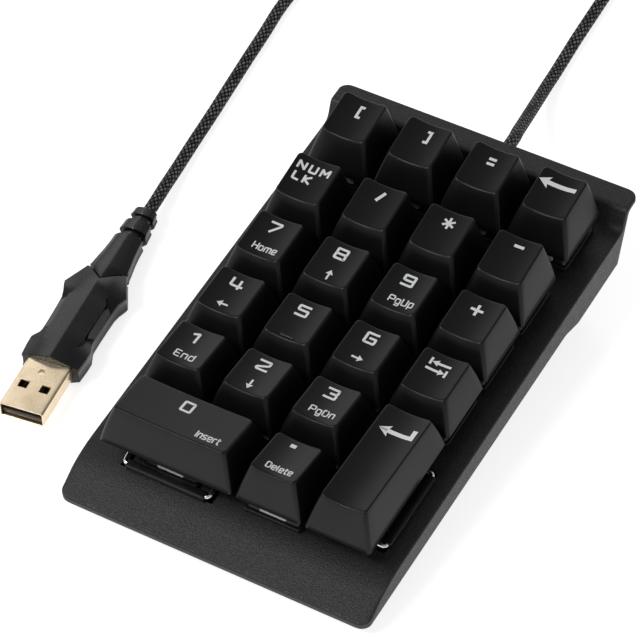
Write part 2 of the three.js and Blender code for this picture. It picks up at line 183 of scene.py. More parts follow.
CAP_MAT = moulded("cap_plastic", (0.0042, 0.0042, 0.0047), 0.37, 0.27, grain=0.22, depth=0.008, spread=0.05)
CASE_MAT = moulded(
    "case_plastic", (0.0036, 0.0036, 0.004), 0.5, 0.5, grain=0.34, depth=0.12, spread=0.12, speckle=3.0
)
TUB_MAT = moulded("tub_plastic", (0.006, 0.006, 0.0065), 0.5, 0.45, grain=0.5, depth=0.05)
LEGEND_MAT = moulded("legend_ink", (0.72, 0.73, 0.74), 0.55, 0.3, grain=0.18, depth=0.006, mottle=0.06)
MILKY_MAT = moulded("milky_lens", (0.34, 0.355, 0.37), 0.25, 0.5, grain=0.6, depth=0.004, mottle=0.05)
HOUSING_MAT = moulded("black_housing", (0.005, 0.005, 0.005), 0.4, 0.45, grain=0.5, depth=0.01)
SLIDER_MAT = moulded("slider_plastic", (0.03, 0.029, 0.028), 0.42, 0.45, grain=0.5, depth=0.006)
RUBBER_MAT = moulded("rubber", (0.013, 0.013, 0.0135), 0.72, 0.35, grain=0.35, depth=0.03)
BOOT_MAT = moulded("gland_rubber", (0.005, 0.005, 0.0055), 0.5, 0.4, grain=0.3, depth=0.012)
GRIP_MAT = moulded("grip_plastic", (0.003, 0.003, 0.0035), 0.28, 0.36, grain=0.3, depth=0.006, spread=0.05)
# The raised waist panels are a lighter grey than the grip: a painted reflection of the floor on the waist's
# side wall.
PANEL_REFLECTION_MAT = moulded("grip_panel_painted_reflection", (0.06, 0.06, 0.063), 0.5, 0.4, grain=0.25, depth=0.03)
# The insulator's warm brown tint is a painted reflection of the gold shell round it.
TONGUE_REFLECTION_MAT = moulded("insulator_plastic_gold_reflection", (0.022, 0.014, 0.011), 0.4, 0.5, grain=0.4, depth=0.004)
STRAP_MAT = moulded("strap_fabric", (0.008, 0.008, 0.0085), 0.8, 0.25, grain=0.6, depth=0.12)
STEEL_MAT = plated("wire_steel", (0.86, 0.86, 0.87), (0.78, 0.78, 0.79), 0.16)
SCREW_MAT = plated("screw_steel", (0.09, 0.09, 0.095), (0.06, 0.06, 0.062), 0.35)
GOLD_MAT = plated("gold_plate", (0.90, 0.745, 0.54), (0.82, 0.66, 0.44), 0.3, grain=0.2, depth=0.02)


# ---- Building meshes ----
def mesh_from(name, points, faces, material, sharp=32):
    """A mesh in metres from points in millimetres."""
    mesh = bpy.data.meshes.new(name)
    mesh.from_pydata([[c * MM for c in p] for p in points], [], faces)
    finish_mesh(mesh, sharp)
    mesh.materials.append(material)
    return mesh


def finish_mesh(mesh, sharp):
    work = bmesh.new()
    work.from_mesh(mesh)
    bmesh.ops.remove_doubles(work, verts=work.verts, dist=1e-7)
    bmesh.ops.recalc_face_normals(work, faces=work.faces)
    work.to_mesh(mesh)
    work.free()
    mesh.shade_smooth()
    mesh.set_sharp_from_angle(angle=math.radians(sharp))


def add_to_scene(name, data):
    made = bpy.data.objects.new(name, data)
    bpy.context.scene.collection.objects.link(made)
    return made


def show(name, mesh, place, stands_for=None, body=CASE_BODY):
    """A shown piece made of that mesh, put at place and riding on that body."""
    piece = add_to_scene(name, mesh)
    piece.matrix_world = place
    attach(piece, body)
    if stands_for:
        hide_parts(stands_for)
    return piece


def at_mm(frame_matrix, x, y, z=0.0):
    return frame_matrix @ Matrix.Translation(Vector((x, y, z)) * MM)


def rounded(x0, x1, y0, y1, radius, corner=5, side=1):
    """An anticlockwise rounded rectangle; side is how many steps each straight side has."""
    left, right, low, high = x0 + radius, x1 - radius, y0 + radius, y1 - radius
    arcs = []
    for x, y, start in ((right, low, -90), (right, high, 0), (left, high, 90), (left, low, 180)):
        turns = [math.radians(start + 90 * i / corner) for i in range(corner + 1)]
        arcs.append([(x + radius * math.cos(a), y + radius * math.sin(a)) for a in turns])
    points = []
    for arc, after in zip(arcs, [*arcs[1:], arcs[0]]):
        points += arc
        (x, y), (next_x, next_y) = arc[-1], after[0]
        points += [(x + (next_x - x) * i / side, y + (next_y - y) * i / side) for i in range(1, side)]
    return points


def circle(radius, sides):
    angles = [2 * math.pi * i / sides for i in range(sides)]
    return [(radius * math.cos(a), radius * math.sin(a)) for a in angles]


def flat(ring, z):
    return [(x, y, z) for x, y in ring]


def skin(rings, fans=True):
    """Points and faces of a closed skin through equally long rings, its ends fans or single faces."""
    count, last = len(rings[0]), len(rings) - 1
    points = [p for ring in rings for p in ring]
    faces = []
    for r in range(last):
        for i in range(count):
            a, b = r * count + i, r * count + (i + 1) % count
            faces.append((a, b, b + count, a + count))
    if not fans:
        faces += [tuple(reversed(range(count))), tuple(range(last * count, (last + 1) * count))]
        return points, faces
    for r in (0, last):
        hub = len(points)
        points.append(tuple(sum(p[k] for p in rings[r]) / count for k in range(3)))
        for i in range(count):
            a, b = r * count + i, r * count + (i + 1) % count
            faces.append((a, b, hub) if r else (b, a, hub))
    return points, faces


def join_skins(parts):
    points, faces = [], []
    for part_points, part_faces in parts:
        start = len(points)
        points += part_points
        faces += [tuple(i + start for i in face) for face in part_faces]
    return points, faces


def bend(a, b, c, t):
    """A place on the curve from a to c that is pulled towards b."""
    return a * (1 - t) ** 2 + b * 2 * t * (1 - t) + c * t ** 2


def block(x0, x1, y0, y1, z0, z1, edge=0.2, corner=0.4):
    """A rounded block: rounded in plan, with soft upper and lower edges."""
    rings = []
    for level, way, turns in ((z0, 1, (0, 45, 90)), (z1, -1, (90, 45, 0))):
        for a in map(math.radians, turns):
            inset = edge * (1 - math.sin(a))
            plan = rounded(x0 + inset, x1 - inset, y0 + inset, y1 - inset, corner, 3)
            rings.append(flat(plan, level + way * edge * (1 - math.cos(a))))
    return skin(rings)


def box(x0, x1, y0, y1, z0, z1):
    return skin([flat([(x1, y0), (x1, y1), (x0, y1), (x0, y0)], z) for z in (z0, z1)])


def turned(profile):
    """A body of revolution about Y from [radius, y] pairs."""
    return skin([[(x, y, z) for z, x in circle(max(r, 0.001), 32)] for r, y in profile])


def bevelled(piece, width_mm):
    made = piece.modifiers.new("edges", "BEVEL")
    made.width = width_mm * MM
    made.segments = 2
    made.limit_method = "ANGLE"
    made.angle_limit = math.radians(30)
    made.harden_normals = True
    return piece


def loose(name, parts, material):
    """An object that isn't shown: raw material for a cut."""
    return add_to_scene(name, mesh_from(name, *join_skins(parts), material))


def cut_away(piece, cutter):
    made = piece.modifiers.new("cut", "BOOLEAN")
    made.object = cutter
    made.operation = "DIFFERENCE"
    made.solver = "EXACT"
    depsgraph = bpy.context.evaluated_depsgraph_get()
    result = bpy.data.meshes.new_from_object(piece.evaluated_get(depsgraph))
    piece.modifiers.clear()
    piece.data = result
    bpy.data.objects.remove(cutter)


def mesh_of(piece, sharp, place=KEYPAD):
    """The finished mesh of a loose object, which goes away."""
    mesh = piece.data
    bpy.data.objects.remove(piece)
    mesh.transform(place)
    finish_mesh(mesh, sharp)
    return mesh


def lean(a, b, ta, tb, t):
    """Between a at ta and b at tb, or beyond them."""
    return (tb - t) / (tb - ta) * a + (t - ta) / (tb - ta) * b


def smooth_path(points, step):
    """Evenly spaced points on a smooth curve through the given ones, and its length."""
    p = [np.array(q, float) for q in points]
    p = [2 * p[0] - p[1], *p, 2 * p[-1] - p[-2]]
    fine = []
    for i in range(1, len(p) - 2):
        a, b, c, d = p[i - 1 : i + 3]
        knots = [0.0]
        for u, v in ((a, b), (b, c), (c, d)):
            knots.append(knots[-1] + max(1e-6, np.linalg.norm(v - u)) ** 0.5)
        t0, t1, t2, t3 = knots
        for t in np.linspace(t1, t2, 16, endpoint=False):
            a1, a2, a3 = lean(a, b, t0, t1, t), lean(b, c, t1, t2, t), lean(c, d, t2, t3, t)
            fine.append(lean(lean(a1, a2, t0, t2, t), lean(a2, a3, t1, t3, t), t1, t2, t))
    fine = np.array([*fine, p[-2]])
    run = np.concatenate([[0], np.cumsum(np.linalg.norm(np.diff(fine, axis=0), axis=1))])
    count = max(2, int(round(run[-1] / step)) + 1)
    at = np.linspace(0, run[-1], count)
    return np.stack([np.interp(at, run, fine[:, k]) for k in range(3)], 1), run[-1]


def frames_along(path):
    """For each point of a path: its tangent and two directions across it, without twist."""
    tangent = np.gradient(path, axis=0)
    tangent /= np.linalg.norm(tangent, axis=1)[:, None]
    across = np.zeros_like(path)
    side = np.cross(tangent[0], (0, 0, 1.0))
    across[0] = side / np.linalg.norm(side)
    for i in range(1, len(path)):
        v = across[i - 1] - tangent[i] * np.dot(across[i - 1], tangent[i])
        across[i] = v / np.linalg.norm(v)
    return tangent, across, np.cross(tangent, across)


def rod(points, radius, step):
    """A round wire through points, its ends rounded."""
    path, _ = smooth_path(points, step)
    tangent, u, v = frames_along(path)
    tips = [(radius * math.sin(a), radius * math.cos(a)) for a in map(math.radians, (30, 60, 80))]
    stations = [(0, -out, thick) for out, thick in reversed(tips)]
    stations += [(i, 0, radius) for i in range(len(path))]
    stations += [(len(path) - 1, out, thick) for out, thick in tips]
    rings = []
    for i, out, thick in stations:
        middle = path[i] + tangent[i] * out
        rings.append([tuple(middle + c * u[i] + s * v[i]) for c, s in circle(thick, 14)])
    return skin(rings)


# ---- Camera ----
CAMERA_PLACE = (0.31517, -0.53754, 0.66307)
CAMERA_AZIMUTH = 31.148
CAMERA_ELEVATION = 45.637
CAMERA_ROLL = -1.422
CAMERA_LENS = 204.71
SENSOR = 36.0

camera_data = bpy.data.cameras.new("camera")
camera_data.lens = CAMERA_LENS
camera_data.sensor_width = SENSOR
camera_data.clip_start = 0.05
camera_data.clip_end = 20
camera = add_to_scene("camera", camera_data)
camera.matrix_world = (
    Matrix.Translation(CAMERA_PLACE)
    @ Matrix.Rotation(math.radians(CAMERA_AZIMUTH), 4, "Z")
    @ Matrix.Rotation(math.radians(90 - CAMERA_ELEVATION), 4, "X")
    @ Matrix.Rotation(math.radians(CAMERA_ROLL), 4, "Z")
)
bpy.context.scene.camera = camera

# ---- Cable: out of the gland, a storage coil behind the keypad, and back to the plug ----
GLAND_Z = 16.5
FROM_KEYPAD = [
    (0, 76.6, GLAND_Z), (-0.1, 79.5, 16.4), (-0.3, 82, 16.2), (-1.0, 86, 15.1), (-2.1, 90, 13.6),
    (-3.6, 96, 11.1), (-5.1, 102, 8.6), (-6.5, 108, 6.4), (-7.8, 114, 4.5), (-8.9, 120, 3.1),
    (-9.7, 126, 2.2), (-10.4, 132, LYING), (-11.3, 142, LYING), (-12.0, 152, LYING), (-12.7, 162, LYING),
    (-13.2, 168.4, LYING), (-14.0, 179, LYING),
]
# The last points of the way back lie inside the boot and the grip
TO_PLUG = [
    (-72.6, 188.1, 5.2), (-75.1, 181.3, 4.6), (-78.2, 171.5, 3.0), (-81.6, 161, 2.0), (-84.8, 150.5, LYING),
    (-87.4, 140, LYING), (-89.0, 130, LYING), (-89.4, 121, LYING), (-88.9, 113, LYING),
    (-87.5, 103, LYING), (-86.0, 91, LYING), (-84.4, 79, LYING), (-82.8, 67, LYING),
    (-81.3, 55, 1.9), (-79.6, 44, 2.4), (-78.2, 36, 3.3), (-76.9, 29.5, 4.1), (-76.17, 24.3, 4.3),
    (-75.95, 22.6, 4.3), (-74.16, 9.86, 4.3), (-72.08, -4.99, 4.3), (-69.57, -22.8, 4.3),
]
COIL_AT = (-43.2, 186.6)
COIL_START, COIL_LEAVE = 4.76, 160.0
COIL_OUTER, COIL_INNER = 28.4, 14.4
LOWER_TURNS, UPPER_TURNS = 4, 4
UPPER_Z = LYING + CABLE_D
COIL_STEP = 15
CLIMB_STEPS, CLIMB_PULL = 12, 0.9


def coil_points():
    """Four turns inwards on the table, half a turn up, and four turns outwards on top of them."""
    stops = []
    for k in range(360 * LOWER_TURNS // COIL_STEP):
        turning = COIL_STEP * k
        stops.append((COIL_START + turning, COIL_OUTER - CABLE_D * turning / 360, LYING))
    for k in range(CLIMB_STEPS):
        t = k / CLIMB_STEPS
        angle = COIL_START + 360 * LOWER_TURNS + 180 * t
        rise = CABLE_D * t * t * (3 - 2 * t)
        stops.append((angle, COIL_INNER - CLIMB_PULL * math.sin(math.pi * t), LYING + rise))
    first = COIL_START + 180
    last = COIL_LEAVE + 360 * UPPER_TURNS
    steps = int((last - first) / COIL_STEP)
    for k in range(steps + 1):
        angle = first + (last - first) * k / steps
        stops.append((angle, COIL_INNER + CABLE_D * (angle - first) / 360, UPPER_Z))
    points = []
    for angle, radius, z in stops:
        a = math.radians(angle)
        points.append((COIL_AT[0] + radius * math.cos(a), COIL_AT[1] + radius * math.sin(a), z))
    return points


BRAID_STEP = 0.3
BRAID_SIDES = 32
BRAID_CELLS = 8
BRAID_PITCH = 1.0
BRAID_RELIEF = 0.13
FIBRES = 4


def braided_cable():
    """The cable's mesh with the relief of its braid, its middle line and its length."""
    path, length = smooth_path([*FROM_KEYPAD, *coil_points(), *TO_PLUG], BRAID_STEP)
    _, u, v = frames_along(path)
    rows, sides = len(path), BRAID_SIDES
    angle = 2 * np.pi * np.arange(sides) / sides
    around = np.arange(sides) / sides * BRAID_CELLS
    along = np.linspace(0, length, rows) / (2 * BRAID_PITCH)
    p, q = around + along[:, None], around - along[:, None]
    lobe = np.sqrt(np.abs(np.sin(np.pi * p) * np.sin(np.pi * q)))
    radius = CABLE_D / 2 - BRAID_RELIEF * (1 - lobe)
    ring = u[:, None] * np.cos(angle)[:, None] + v[:, None] * np.sin(angle)[:, None]
    points = (path[:, None] + ring * radius[:, :, None]).reshape(-1, 3) * MM
    row = np.arange(rows - 1)[:, None] * sides
    here, after = row + np.arange(sides), row + (np.arange(sides) + 1) % sides
    quads = np.stack([here, after, after + sides, here + sides], -1).reshape(-1, 4)
    ends = [list(range(sides))[::-1], list(range((rows - 1) * sides, rows * sides))]
    mesh = bpy.data.meshes.new("cable")
    mesh.from_pydata(points.tolist(), [], [*quads.tolist(), *ends])
    corner_u = around[:, None] + np.array([0, 1, 1, 0]) * BRAID_CELLS / sides
    corner_v = np.stack([along[:-1], along[:-1], along[1:], along[1:]], -1)[:, None]
    uv = np.stack(np.broadcast_arrays(corner_u, corner_v), -1).reshape(-1, 2)
    full = np.zeros((len(mesh.loops), 2), np.float32)
    full[: len(uv)] = uv
    mesh.uv_layers.new(name="braid").data.foreach_set("uv", full.ravel())
    mesh.shade_smooth()
    mesh.materials.append(braid_material())
    return mesh, path, length


def braid_material():
    """Crossing yarn bundles: fine fibres along each bundle, and a painted highlight on the crest of each
    lobe, stronger on some lobes than others.
    """
    mat, bsdf = new_material("braid_yarn", (0.003, 0.003, 0.003), 0.6, specular=0.1)
    uv = node(mat, "ShaderNodeUVMap", uv_map="braid")
    split = node(mat, "ShaderNodeSeparateXYZ")
    link(mat, uv.outputs["UV"], split.inputs["Vector"])

    def math_node(operation, a, b=None):
        made = node(mat, "ShaderNodeMath", operation=operation)
        for socket, value in zip(made.inputs, (a, b)):
            if isinstance(value, (int, float)):
                socket.default_value = value
            elif value is not None:
                link(mat, value, socket)
        return made.outputs[0]

    def wave(value, rate):
        return math_node("SINE", math_node("MULTIPLY", value, rate))

    across, along = split.outputs["X"], split.outputs["Y"]
    p = math_node("ADD", across, along)
    q = math_node("SUBTRACT", across, along)
    cell_p, cell_q = math_node("FLOOR", p), math_node("FLOOR", q)
    over = math_node("MODULO", math_node("ABSOLUTE", math_node("ADD", cell_p, cell_q)), 2.0)
    fibre_p, fibre_q = (wave(value, 2 * math.pi * FIBRES) for value in (p, q))
    fibres = node(mat, "ShaderNodeMix", data_type="FLOAT")
    link(mat, over, fibres.inputs[0])
    link(mat, fibre_p, fibres.inputs[2])
    link(mat, fibre_q, fibres.inputs[3])
    lobe_p, lobe_q = (math_node("ABSOLUTE", wave(value, math.pi)) for value in (p, q))
    lobe = math_node("MULTIPLY", lobe_p, lobe_q)
    cell = node(mat, "ShaderNodeCombineXYZ")
    link(mat, cell_p, cell.inputs["X"])
    link(mat, cell_q, cell.inputs["Y"])
    chance = node(mat, "ShaderNodeTexWhiteNoise", noise_dimensions="2D")
    link(mat, cell.outputs["Vector"], chance.inputs["Vector"])
    # Painted highlight: the crests of the lobes are painted pale grey, more strongly on some cells than
    # others at random.
    highlight_strength = remap(mat, chance.outputs["Value"], 0, 0.8, 0.3, 1)
    crest_highlight = math_node("MULTIPLY", highlight_strength, remap(mat, lobe, 0.3, 0.75, 0, 1))
    tone = blend_colors(mat, crest_highlight, (0.0025, 0.0025, 0.003), (0.2, 0.2, 0.205))
    link(mat, tone, bsdf.inputs["Base Color"])
    link(mat, bump(mat, fibres.outputs[0], 0.03, 0.7), bsdf.inputs["Normal"])
    return mat


cable_mesh, cable_path, cable_length = braided_cable()
cable = show("braided_cable", cable_mesh, KEYPAD)
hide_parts("cable_from_keypad", "cable_coil", "cable_to_plug")

STRAP_ANGLE = 330
STRAP_HALF, STRAP_THICK, STRAP_UNDER = 4.0, 0.5, 0.3
STRAP_EASE, STRAP_CORNER, STRAP_TAIL = 0.1, 1.6, (2, 10)


def strap_mesh():
    """A hook-and-loop strap round all turns of the coil, its free end folded over the top."""
    part_turn = (STRAP_ANGLE - COIL_START) / 360
    low = COIL_OUTER - CABLE_D * (part_turn + LOWER_TURNS - 1) - CABLE_D / 2 - STRAP_EASE
    high = COIL_INNER + CABLE_D * (part_turn + UPPER_TURNS - 1.5) + CABLE_D / 2 + STRAP_EASE
    top = UPPER_Z + CABLE_D / 2 + STRAP_EASE / 2
    over = top + STRAP_THICK
    inner = rounded(low, high, STRAP_UNDER, top, STRAP_CORNER, 6)
    outer = rounded(low - STRAP_THICK, high + STRAP_THICK, 0, over, STRAP_CORNER + STRAP_THICK, 6)
    loops = []
    for outline, side in ((outer, -1), (outer, 1), (inner, 1), (inner, -1)):
        loops.append([(x, side * STRAP_HALF, z) for x, z in outline])
    points, faces = skin([*loops, loops[0]])
    band = (points, faces[: 4 * len(inner)])
    wide = STRAP_HALF - 0.2
    tail_start, tail_end = (low + reach for reach in STRAP_TAIL)
    tail = block(tail_start, tail_end, -wide, wide, over - 0.05, over + STRAP_THICK, 0.15)
    return mesh_from("strap", *join_skins([band, tail]), STRAP_MAT, 40)


strap_place = at_mm(KEYPAD, *COIL_AT) @ Matrix.Rotation(math.radians(STRAP_ANGLE), 4, "Z")
strap = show("coil_strap", strap_mesh(), strap_place)

GLAND_PROFILE = [
    (2.0, 58.0), (3.6, 58.0), (3.6, 63.0), (4.3, 63.0), (4.6, 63.3), (4.6, 64.3), (4.3, 64.6), (3.5, 64.6),
    (3.35, 67.5), (3.2, 70.9), (3.1, 71.0), (2.5, 71.1), (2.4, 71.3), (2.4, 72.2), (2.5, 72.4),
    (3.0, 72.5), (3.1, 72.7), (2.95, 74.8), (2.85, 75.0), (2.5, 75.1), (2.4, 75.3), (2.4, 75.8),
    (2.5, 76.0), (2.7, 76.1), (2.8, 76.3), (2.65, 77.7), (2.5, 78.0), (1.95, 78.0), (1.8, 77.8),
    (1.8, 76.4), (0.0, 76.4),
]
gland_mesh = mesh_from("gland", *turned(GLAND_PROFILE), BOOT_MAT)
gland = show("cable_gland_ribbed", gland_mesh, at_mm(KEYPAD, 0, 0, GLAND_Z), "cable_gland")

# ---- USB-A plug ----
# Each station of the grip: [y, half width, share of the height, how deep the waist is cut]
GRIP_STATIONS = [
    (0, 7.75, 0.95, 0), (0.22, 7.98, 1, 0), (4.0, 8.25, 1, 0), (6.6, 8.3, 1, 0),
    (9.3, 7.35, 1, 1), (10.3, 7.1, 1, 1), (14, 7.1, 1, 1), (19, 7.2, 1, 1), (22.5, 7.35, 1, 1),
    (24.5, 7.75, 1, 0), (26.4, 8.5, 1, 0), (27.5, 8.8, 1, 0),
]
GRIP_HALF_Z, GRIP_RIDGE = 4.1, 1.7
GRIP_NOTCH, NOTCH_SLOPE, NOTCH_GAP = 29.9, 8.2 / 9, 0.7
GRIP_TAIL = 5.46
# Each station of the boot: [y, half width, share of the height]
BOOT_STATIONS = [
    (36, 5.25, 1.0), (39, 4.85, 1.0), (42, 4.4, 1.0), (45, 4.1, 1.0), (48.0, 3.95, 1.0), (48.18, 3.8, 0.97),
    (48.22, 2.6, 0.74), (50.4, 2.6, 0.74), (50.44, 3.7, 0.93), (50.6, 3.85, 0.97), (54.1, 3.6, 0.93),
    (54.28, 3.45, 0.9), (54.32, 2.45, 0.7), (56.4, 2.45, 0.7), (56.44, 3.15, 0.84), (56.6, 3.3, 0.88),
    (59.0, 3.1, 0.84), (59.2, 2.9, 0.8), (59.2, 1.9, 0.54),
]
BOOT_HALF, BOOT_HALF_Z, BOOT_RIDGE = 5.4, 3.3, 0.8
FACET_SHARP = 24


def faceted(half, half_z, ridge, recess=0.0):
    """A section across the plug: a low ridge above and below, and a step down beside the upper facets."""
    wide = min(half, half_z + 3) * 0.6
    edge = wide + (half - 2.0 - wide) * recess
    right = [
        (half - 0.25, half_z / 2 - 0.9), (half, half_z / 2 - 0.3 - 0.7 * recess),
        (half - 0.12, half_z / 2 + 0.25 - 0.7 * recess),
        (edge + 0.5 - 0.35 * recess, half_z - ridge / 2 - 0.22 - 1.0 * recess), (edge, half_z - ridge / 2),
        (0.3, half_z - 0.04),
    ]
    top = [*right, (0, half_z), *[(-x, z) for x, z in reversed(right)]]
    under = [(half - 0.25, -half_z / 2 + 0.9), (half, -half_z / 2 + 0.3), (half - 0.12, -half_z / 2 - 0.25),
             (wide, -half_z + 0.1), (wide - 0.4, -half_z)]
    return [*top, *[(-x, z) for x, z in under], *reversed(under)]


def notched(section, y, shrink):
    """A ring that follows the V of the joint between grip and boot."""
    return [(x * shrink, y + abs(x) * NOTCH_SLOPE, z * shrink) for x, z in section]


def grip_mesh():
    rings = []
    for y, half, share, recess in GRIP_STATIONS:
        rings.append([(x, y, z * share) for x, z in faceted(half, GRIP_HALF_Z, GRIP_RIDGE, recess)])
    for back, shrink in ((0.35, 1.0), (0.08, 0.985), (0.0, 0.95)):
        section = faceted(GRIP_TAIL + 0.45 * back, GRIP_HALF_Z, GRIP_RIDGE)
        rings.append(notched(section, GRIP_NOTCH - back, shrink))
    return mesh_from("grip", *skin(rings), GRIP_MAT, FACET_SHARP)


def boot_mesh():
    section = faceted(BOOT_HALF, BOOT_HALF_Z, BOOT_RIDGE)
    rings = []
    for back, shrink in ((0.0, 0.92), (0.12, 0.985), (0.45, 1.0)):
        rings.append(notched(section, GRIP_NOTCH + NOTCH_GAP + back, shrink))
    for y, half, share in BOOT_STATIONS:
        rings.append([(x, y, z * share) for x, z in faceted(half, BOOT_HALF_Z, BOOT_RIDGE)])
    return mesh_from("boot", *skin(rings), GRIP_MAT, FACET_SHARP)


PANEL_OUTLINE = [(5.45, 10.8), (6.85, 11.6), (6.95, 21.2), (5.9, 22.4), (5.25, 20.8), (5.25, 12.2)]
PANEL_LEAN = 0.55


def panel_mesh(hand, side):
    """The raised strip set in the waist on one side of the grip's upper face."""
    middle = np.mean(PANEL_OUTLINE, axis=0)
    rings = []
    for inset, z in ((0.0, 1.0), (0.0, 2.35), (0.12, 2.5)):
        ring = []
        for corner in PANEL_OUTLINE:
            out = np.array(corner) - middle
            x, y = middle + out * (1 - inset / np.linalg.norm(out))
            ring.append((side * x, y, z - PANEL_LEAN * (corner[0] - 5.7)))
        rings.append(ring)
    return mesh_from(f"panel_{hand}", *skin(rings), PANEL_REFLECTION_MAT, FACET_SHARP)


grip = show("plug_grip_moulding", grip_mesh(), PLUG, "plug_grip")
boot = show("plug_boot_moulding", boot_mesh(), PLUG, "plug_boot")
for side, hand in ((-1, "left"), (1, "right")):
    show(f"plug_panel_{hand}", panel_mesh(hand, side), PLUG)

SHELL_X, SHELL_Z, SHELL_LENGTH, SHELL_WALL = 6.0, 2.25, 17.0, 0.4
SHELL_LIP, SHELL_SEAM = 0.12, 0.06
LATCH_X, LATCH_Y, LATCH_HALF = 2.9, (-10.3, -7.8), 1.25
DIMPLE_PLAN, DIMPLE_DEPTH = (-1.3, 0.5, -4.7, -2.9), 0.32
CONTACTS = ((-3.5, -15.3), (-1.0, -14.3), (1.0, -14.3), (3.5, -15.3))


def shell_mesh():
    """The plated shell with its latch holes, dimple and lower seam, and the contacts inside it."""
    mouth = -SHELL_LENGTH
    rings = []
    for inset, radius, y in (
        (0, 0.75, -0.05), (0, 0.75, mouth + SHELL_LIP), (SHELL_LIP, 0.65, mouth),
        (SHELL_WALL - 0.1, 0.5, mouth), (SHELL_WALL, 0.4, mouth + SHELL_LIP), (SHELL_WALL, 0.4, -0.7),
    ):
        half_x, half_z = SHELL_X - inset, SHELL_Z - inset
        rings.append([(x, y, z) for x, z in rounded(-half_x, half_x, -half_z, half_z, radius)])
    raw = loose("shell_raw", [skin(rings)], GOLD_MAT)
    holes = []
    for x in (-LATCH_X, LATCH_X):
        for z in (SHELL_Z, -SHELL_Z):
            holes.append(box(x - LATCH_HALF, x + LATCH_HALF, *LATCH_Y, z - 1, z + 1))
    holes.append(box(-SHELL_SEAM, SHELL_SEAM, mouth - 1, -0.2, -SHELL_Z - 1, -SHELL_Z + 0.3))
    cut_away(raw, loose("shell_holes", holes, GOLD_MAT))
    dimple = block(*DIMPLE_PLAN, SHELL_Z - DIMPLE_DEPTH, SHELL_Z + 1, 0.28, 0.7)
    cut_away(raw, loose("shell_dimple", [dimple], GOLD_MAT))
    contacts = [block(x - 0.5, x + 0.5, start, -5.0, -0.15, 0.02, 0.04, 0.15) for x, start in CONTACTS]
    work = bmesh.new()
    work.from_mesh(raw.data)
    work.from_mesh(mesh_from("contacts", *join_skins(contacts), GOLD_MAT))
    work.to_mesh(raw.data)
    work.free()
    return mesh_of(raw, 30)


shell = bevelled(show("usb_shell_plated", shell_mesh(), PLUG, "usb_shell"), 0.06)
tongue_parts = [
    block(-5.4, 5.4, -16.2, -1.0, -1.55, -0.1, 0.08, 0.2),
    block(-5.5, 5.5, -5.0, -1.0, -1.8, 1.75, 0.08, 0.2),
]
tongue_mesh = mesh_from("tongue", *join_skins(tongue_parts), TONGUE_REFLECTION_MAT)
tongue = show("usb_tongue", tongue_mesh, PLUG, "usb_insulator")
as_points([tuple(p * MM) for p in cable_path[::4]] + [tuple(cable_path[-1] * MM)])

# ---- Keycaps ----
CORNER_STEPS = 6
SIDE_STEPS = 10
BASE_CORNER, TOP_CORNER = 1.0, 1.25
EDGE_ROUND = 0.45
SIDE_SWELL = 0.16


def cap_face(row, dish, top):
    """The height of the cap's scooped top over a place in its plan."""
    _, (y0, z0), (y1, z1) = row
    slope = (z1 - z0) / (y1 - y0)

    def height(x, y):
        return z0 + (y - y0) * slope - dish * (1 - (x / top) ** 2)

    return height


def cap_mesh(name, row, spare_x, spare_y, dish):
    """A hollow keycap: leaning sides, softly rounded edges and a scooped top."""
    _, (front, front_z), (back, back_z) = row
    base_x, base_y = CAP_BASE + spare_x, CAP_BASE + spare_y
    top = CAP_TOP + spare_x
    height = cap_face(row, dish, top)

    def outline(x, y0, y1, radius):
        return rounded(-x, x, y0, y1, radius, CORNER_STEPS, SIDE_STEPS)

    def on_top(plan):
        return [Vector((x, y, height(x, y))) for x, y in plan]

    def inward(r):
        return on_top(outline(top - r, front + r, back - r, TOP_CORNER - r * 0.6))

    foot = [Vector((x, y, 0)) for x, y in outline(base_x, -base_y, base_y, BASE_CORNER)]
    edge = inward(0)

    def side(t):
        swell = SIDE_SWELL * 4 * t * (1 - t)
        return [f.lerp(e, t) + Vector((f.x / base_x, f.y / base_y, 0)) * swell for f, e in zip(foot, edge)]

    rings = [[Vector((p.x * (1 - 0.1 / base_x), p.y * (1 - 0.1 / base_y), 0)) for p in foot]]
    rings += [side(t) for t in (0.012, 0.2, 0.4, 0.6, 0.8)]
    below = [e + (f - e) * (EDGE_ROUND / (f - e).length) for f, e in zip(side(0.8), edge)]
    inside = inward(EDGE_ROUND)
    for t in (0, 0.2, 0.4, 0.6, 0.8, 1):
        rings.append([bend(*three, t) for three in zip(below, edge, inside)])
    middle = (front + back) / 2
    start = inward(EDGE_ROUND + 0.5)
    for share in (1, 0.85, 0.68, 0.5, 0.33, 0.16, 0.04):
        rings.append(on_top([(p.x * share, middle + (p.y - middle) * share) for p in start]))
    roof = min(front_z, back_z) - dish - CAP_ROOF
    draft = roof / min(front_z, back_z)

    def hollow(t):
        x = base_x - CAP_WALL + (top - base_x) * t * draft
        y0 = CAP_WALL - base_y + (front + base_y) * t * draft
        y1 = base_y - CAP_WALL + (back - base_y) * t * draft
        return flat(outline(x, y0, y1, 0.7), roof * t)

    inner = [hollow(t) for t in (1.0, 0.97, 0.5, 0.02, 0.0)]
    return mesh_from(name, *skin([*inner, *rings]), CAP_MAT, 50)


def slider_mesh(name, roof, posts):
    """The switch's slider under the cap, with its cross and a bored boss, and any stabiliser posts."""
    parts = [
        block(-3.35, 3.35, -2.75, 2.75, -5.6, 1.4, 0.25, 0.5),
        block(-2.05, 2.05, -0.62, 0.62, 1.2, 4.6, 0.1, 0.1),
        block(-0.55, 0.55, -2.05, 2.05, 1.2, 4.6, 0.1, 0.1),
    ]
    top = roof + 0.3
    boss = ((2.2, 1.7), (2.75, 1.5), (2.75, top), (2.0, top))
    parts.append(skin([flat(circle(r, 28), z) for r, z in boss]))
    for x, y in posts:
        parts.append(block(x - 1.5, x + 1.5, y - 1.5, y + 1.5, -1.75, top, 0.2, 0.3))
    return mesh_from(name, *join_skins(parts), SLIDER_MAT)


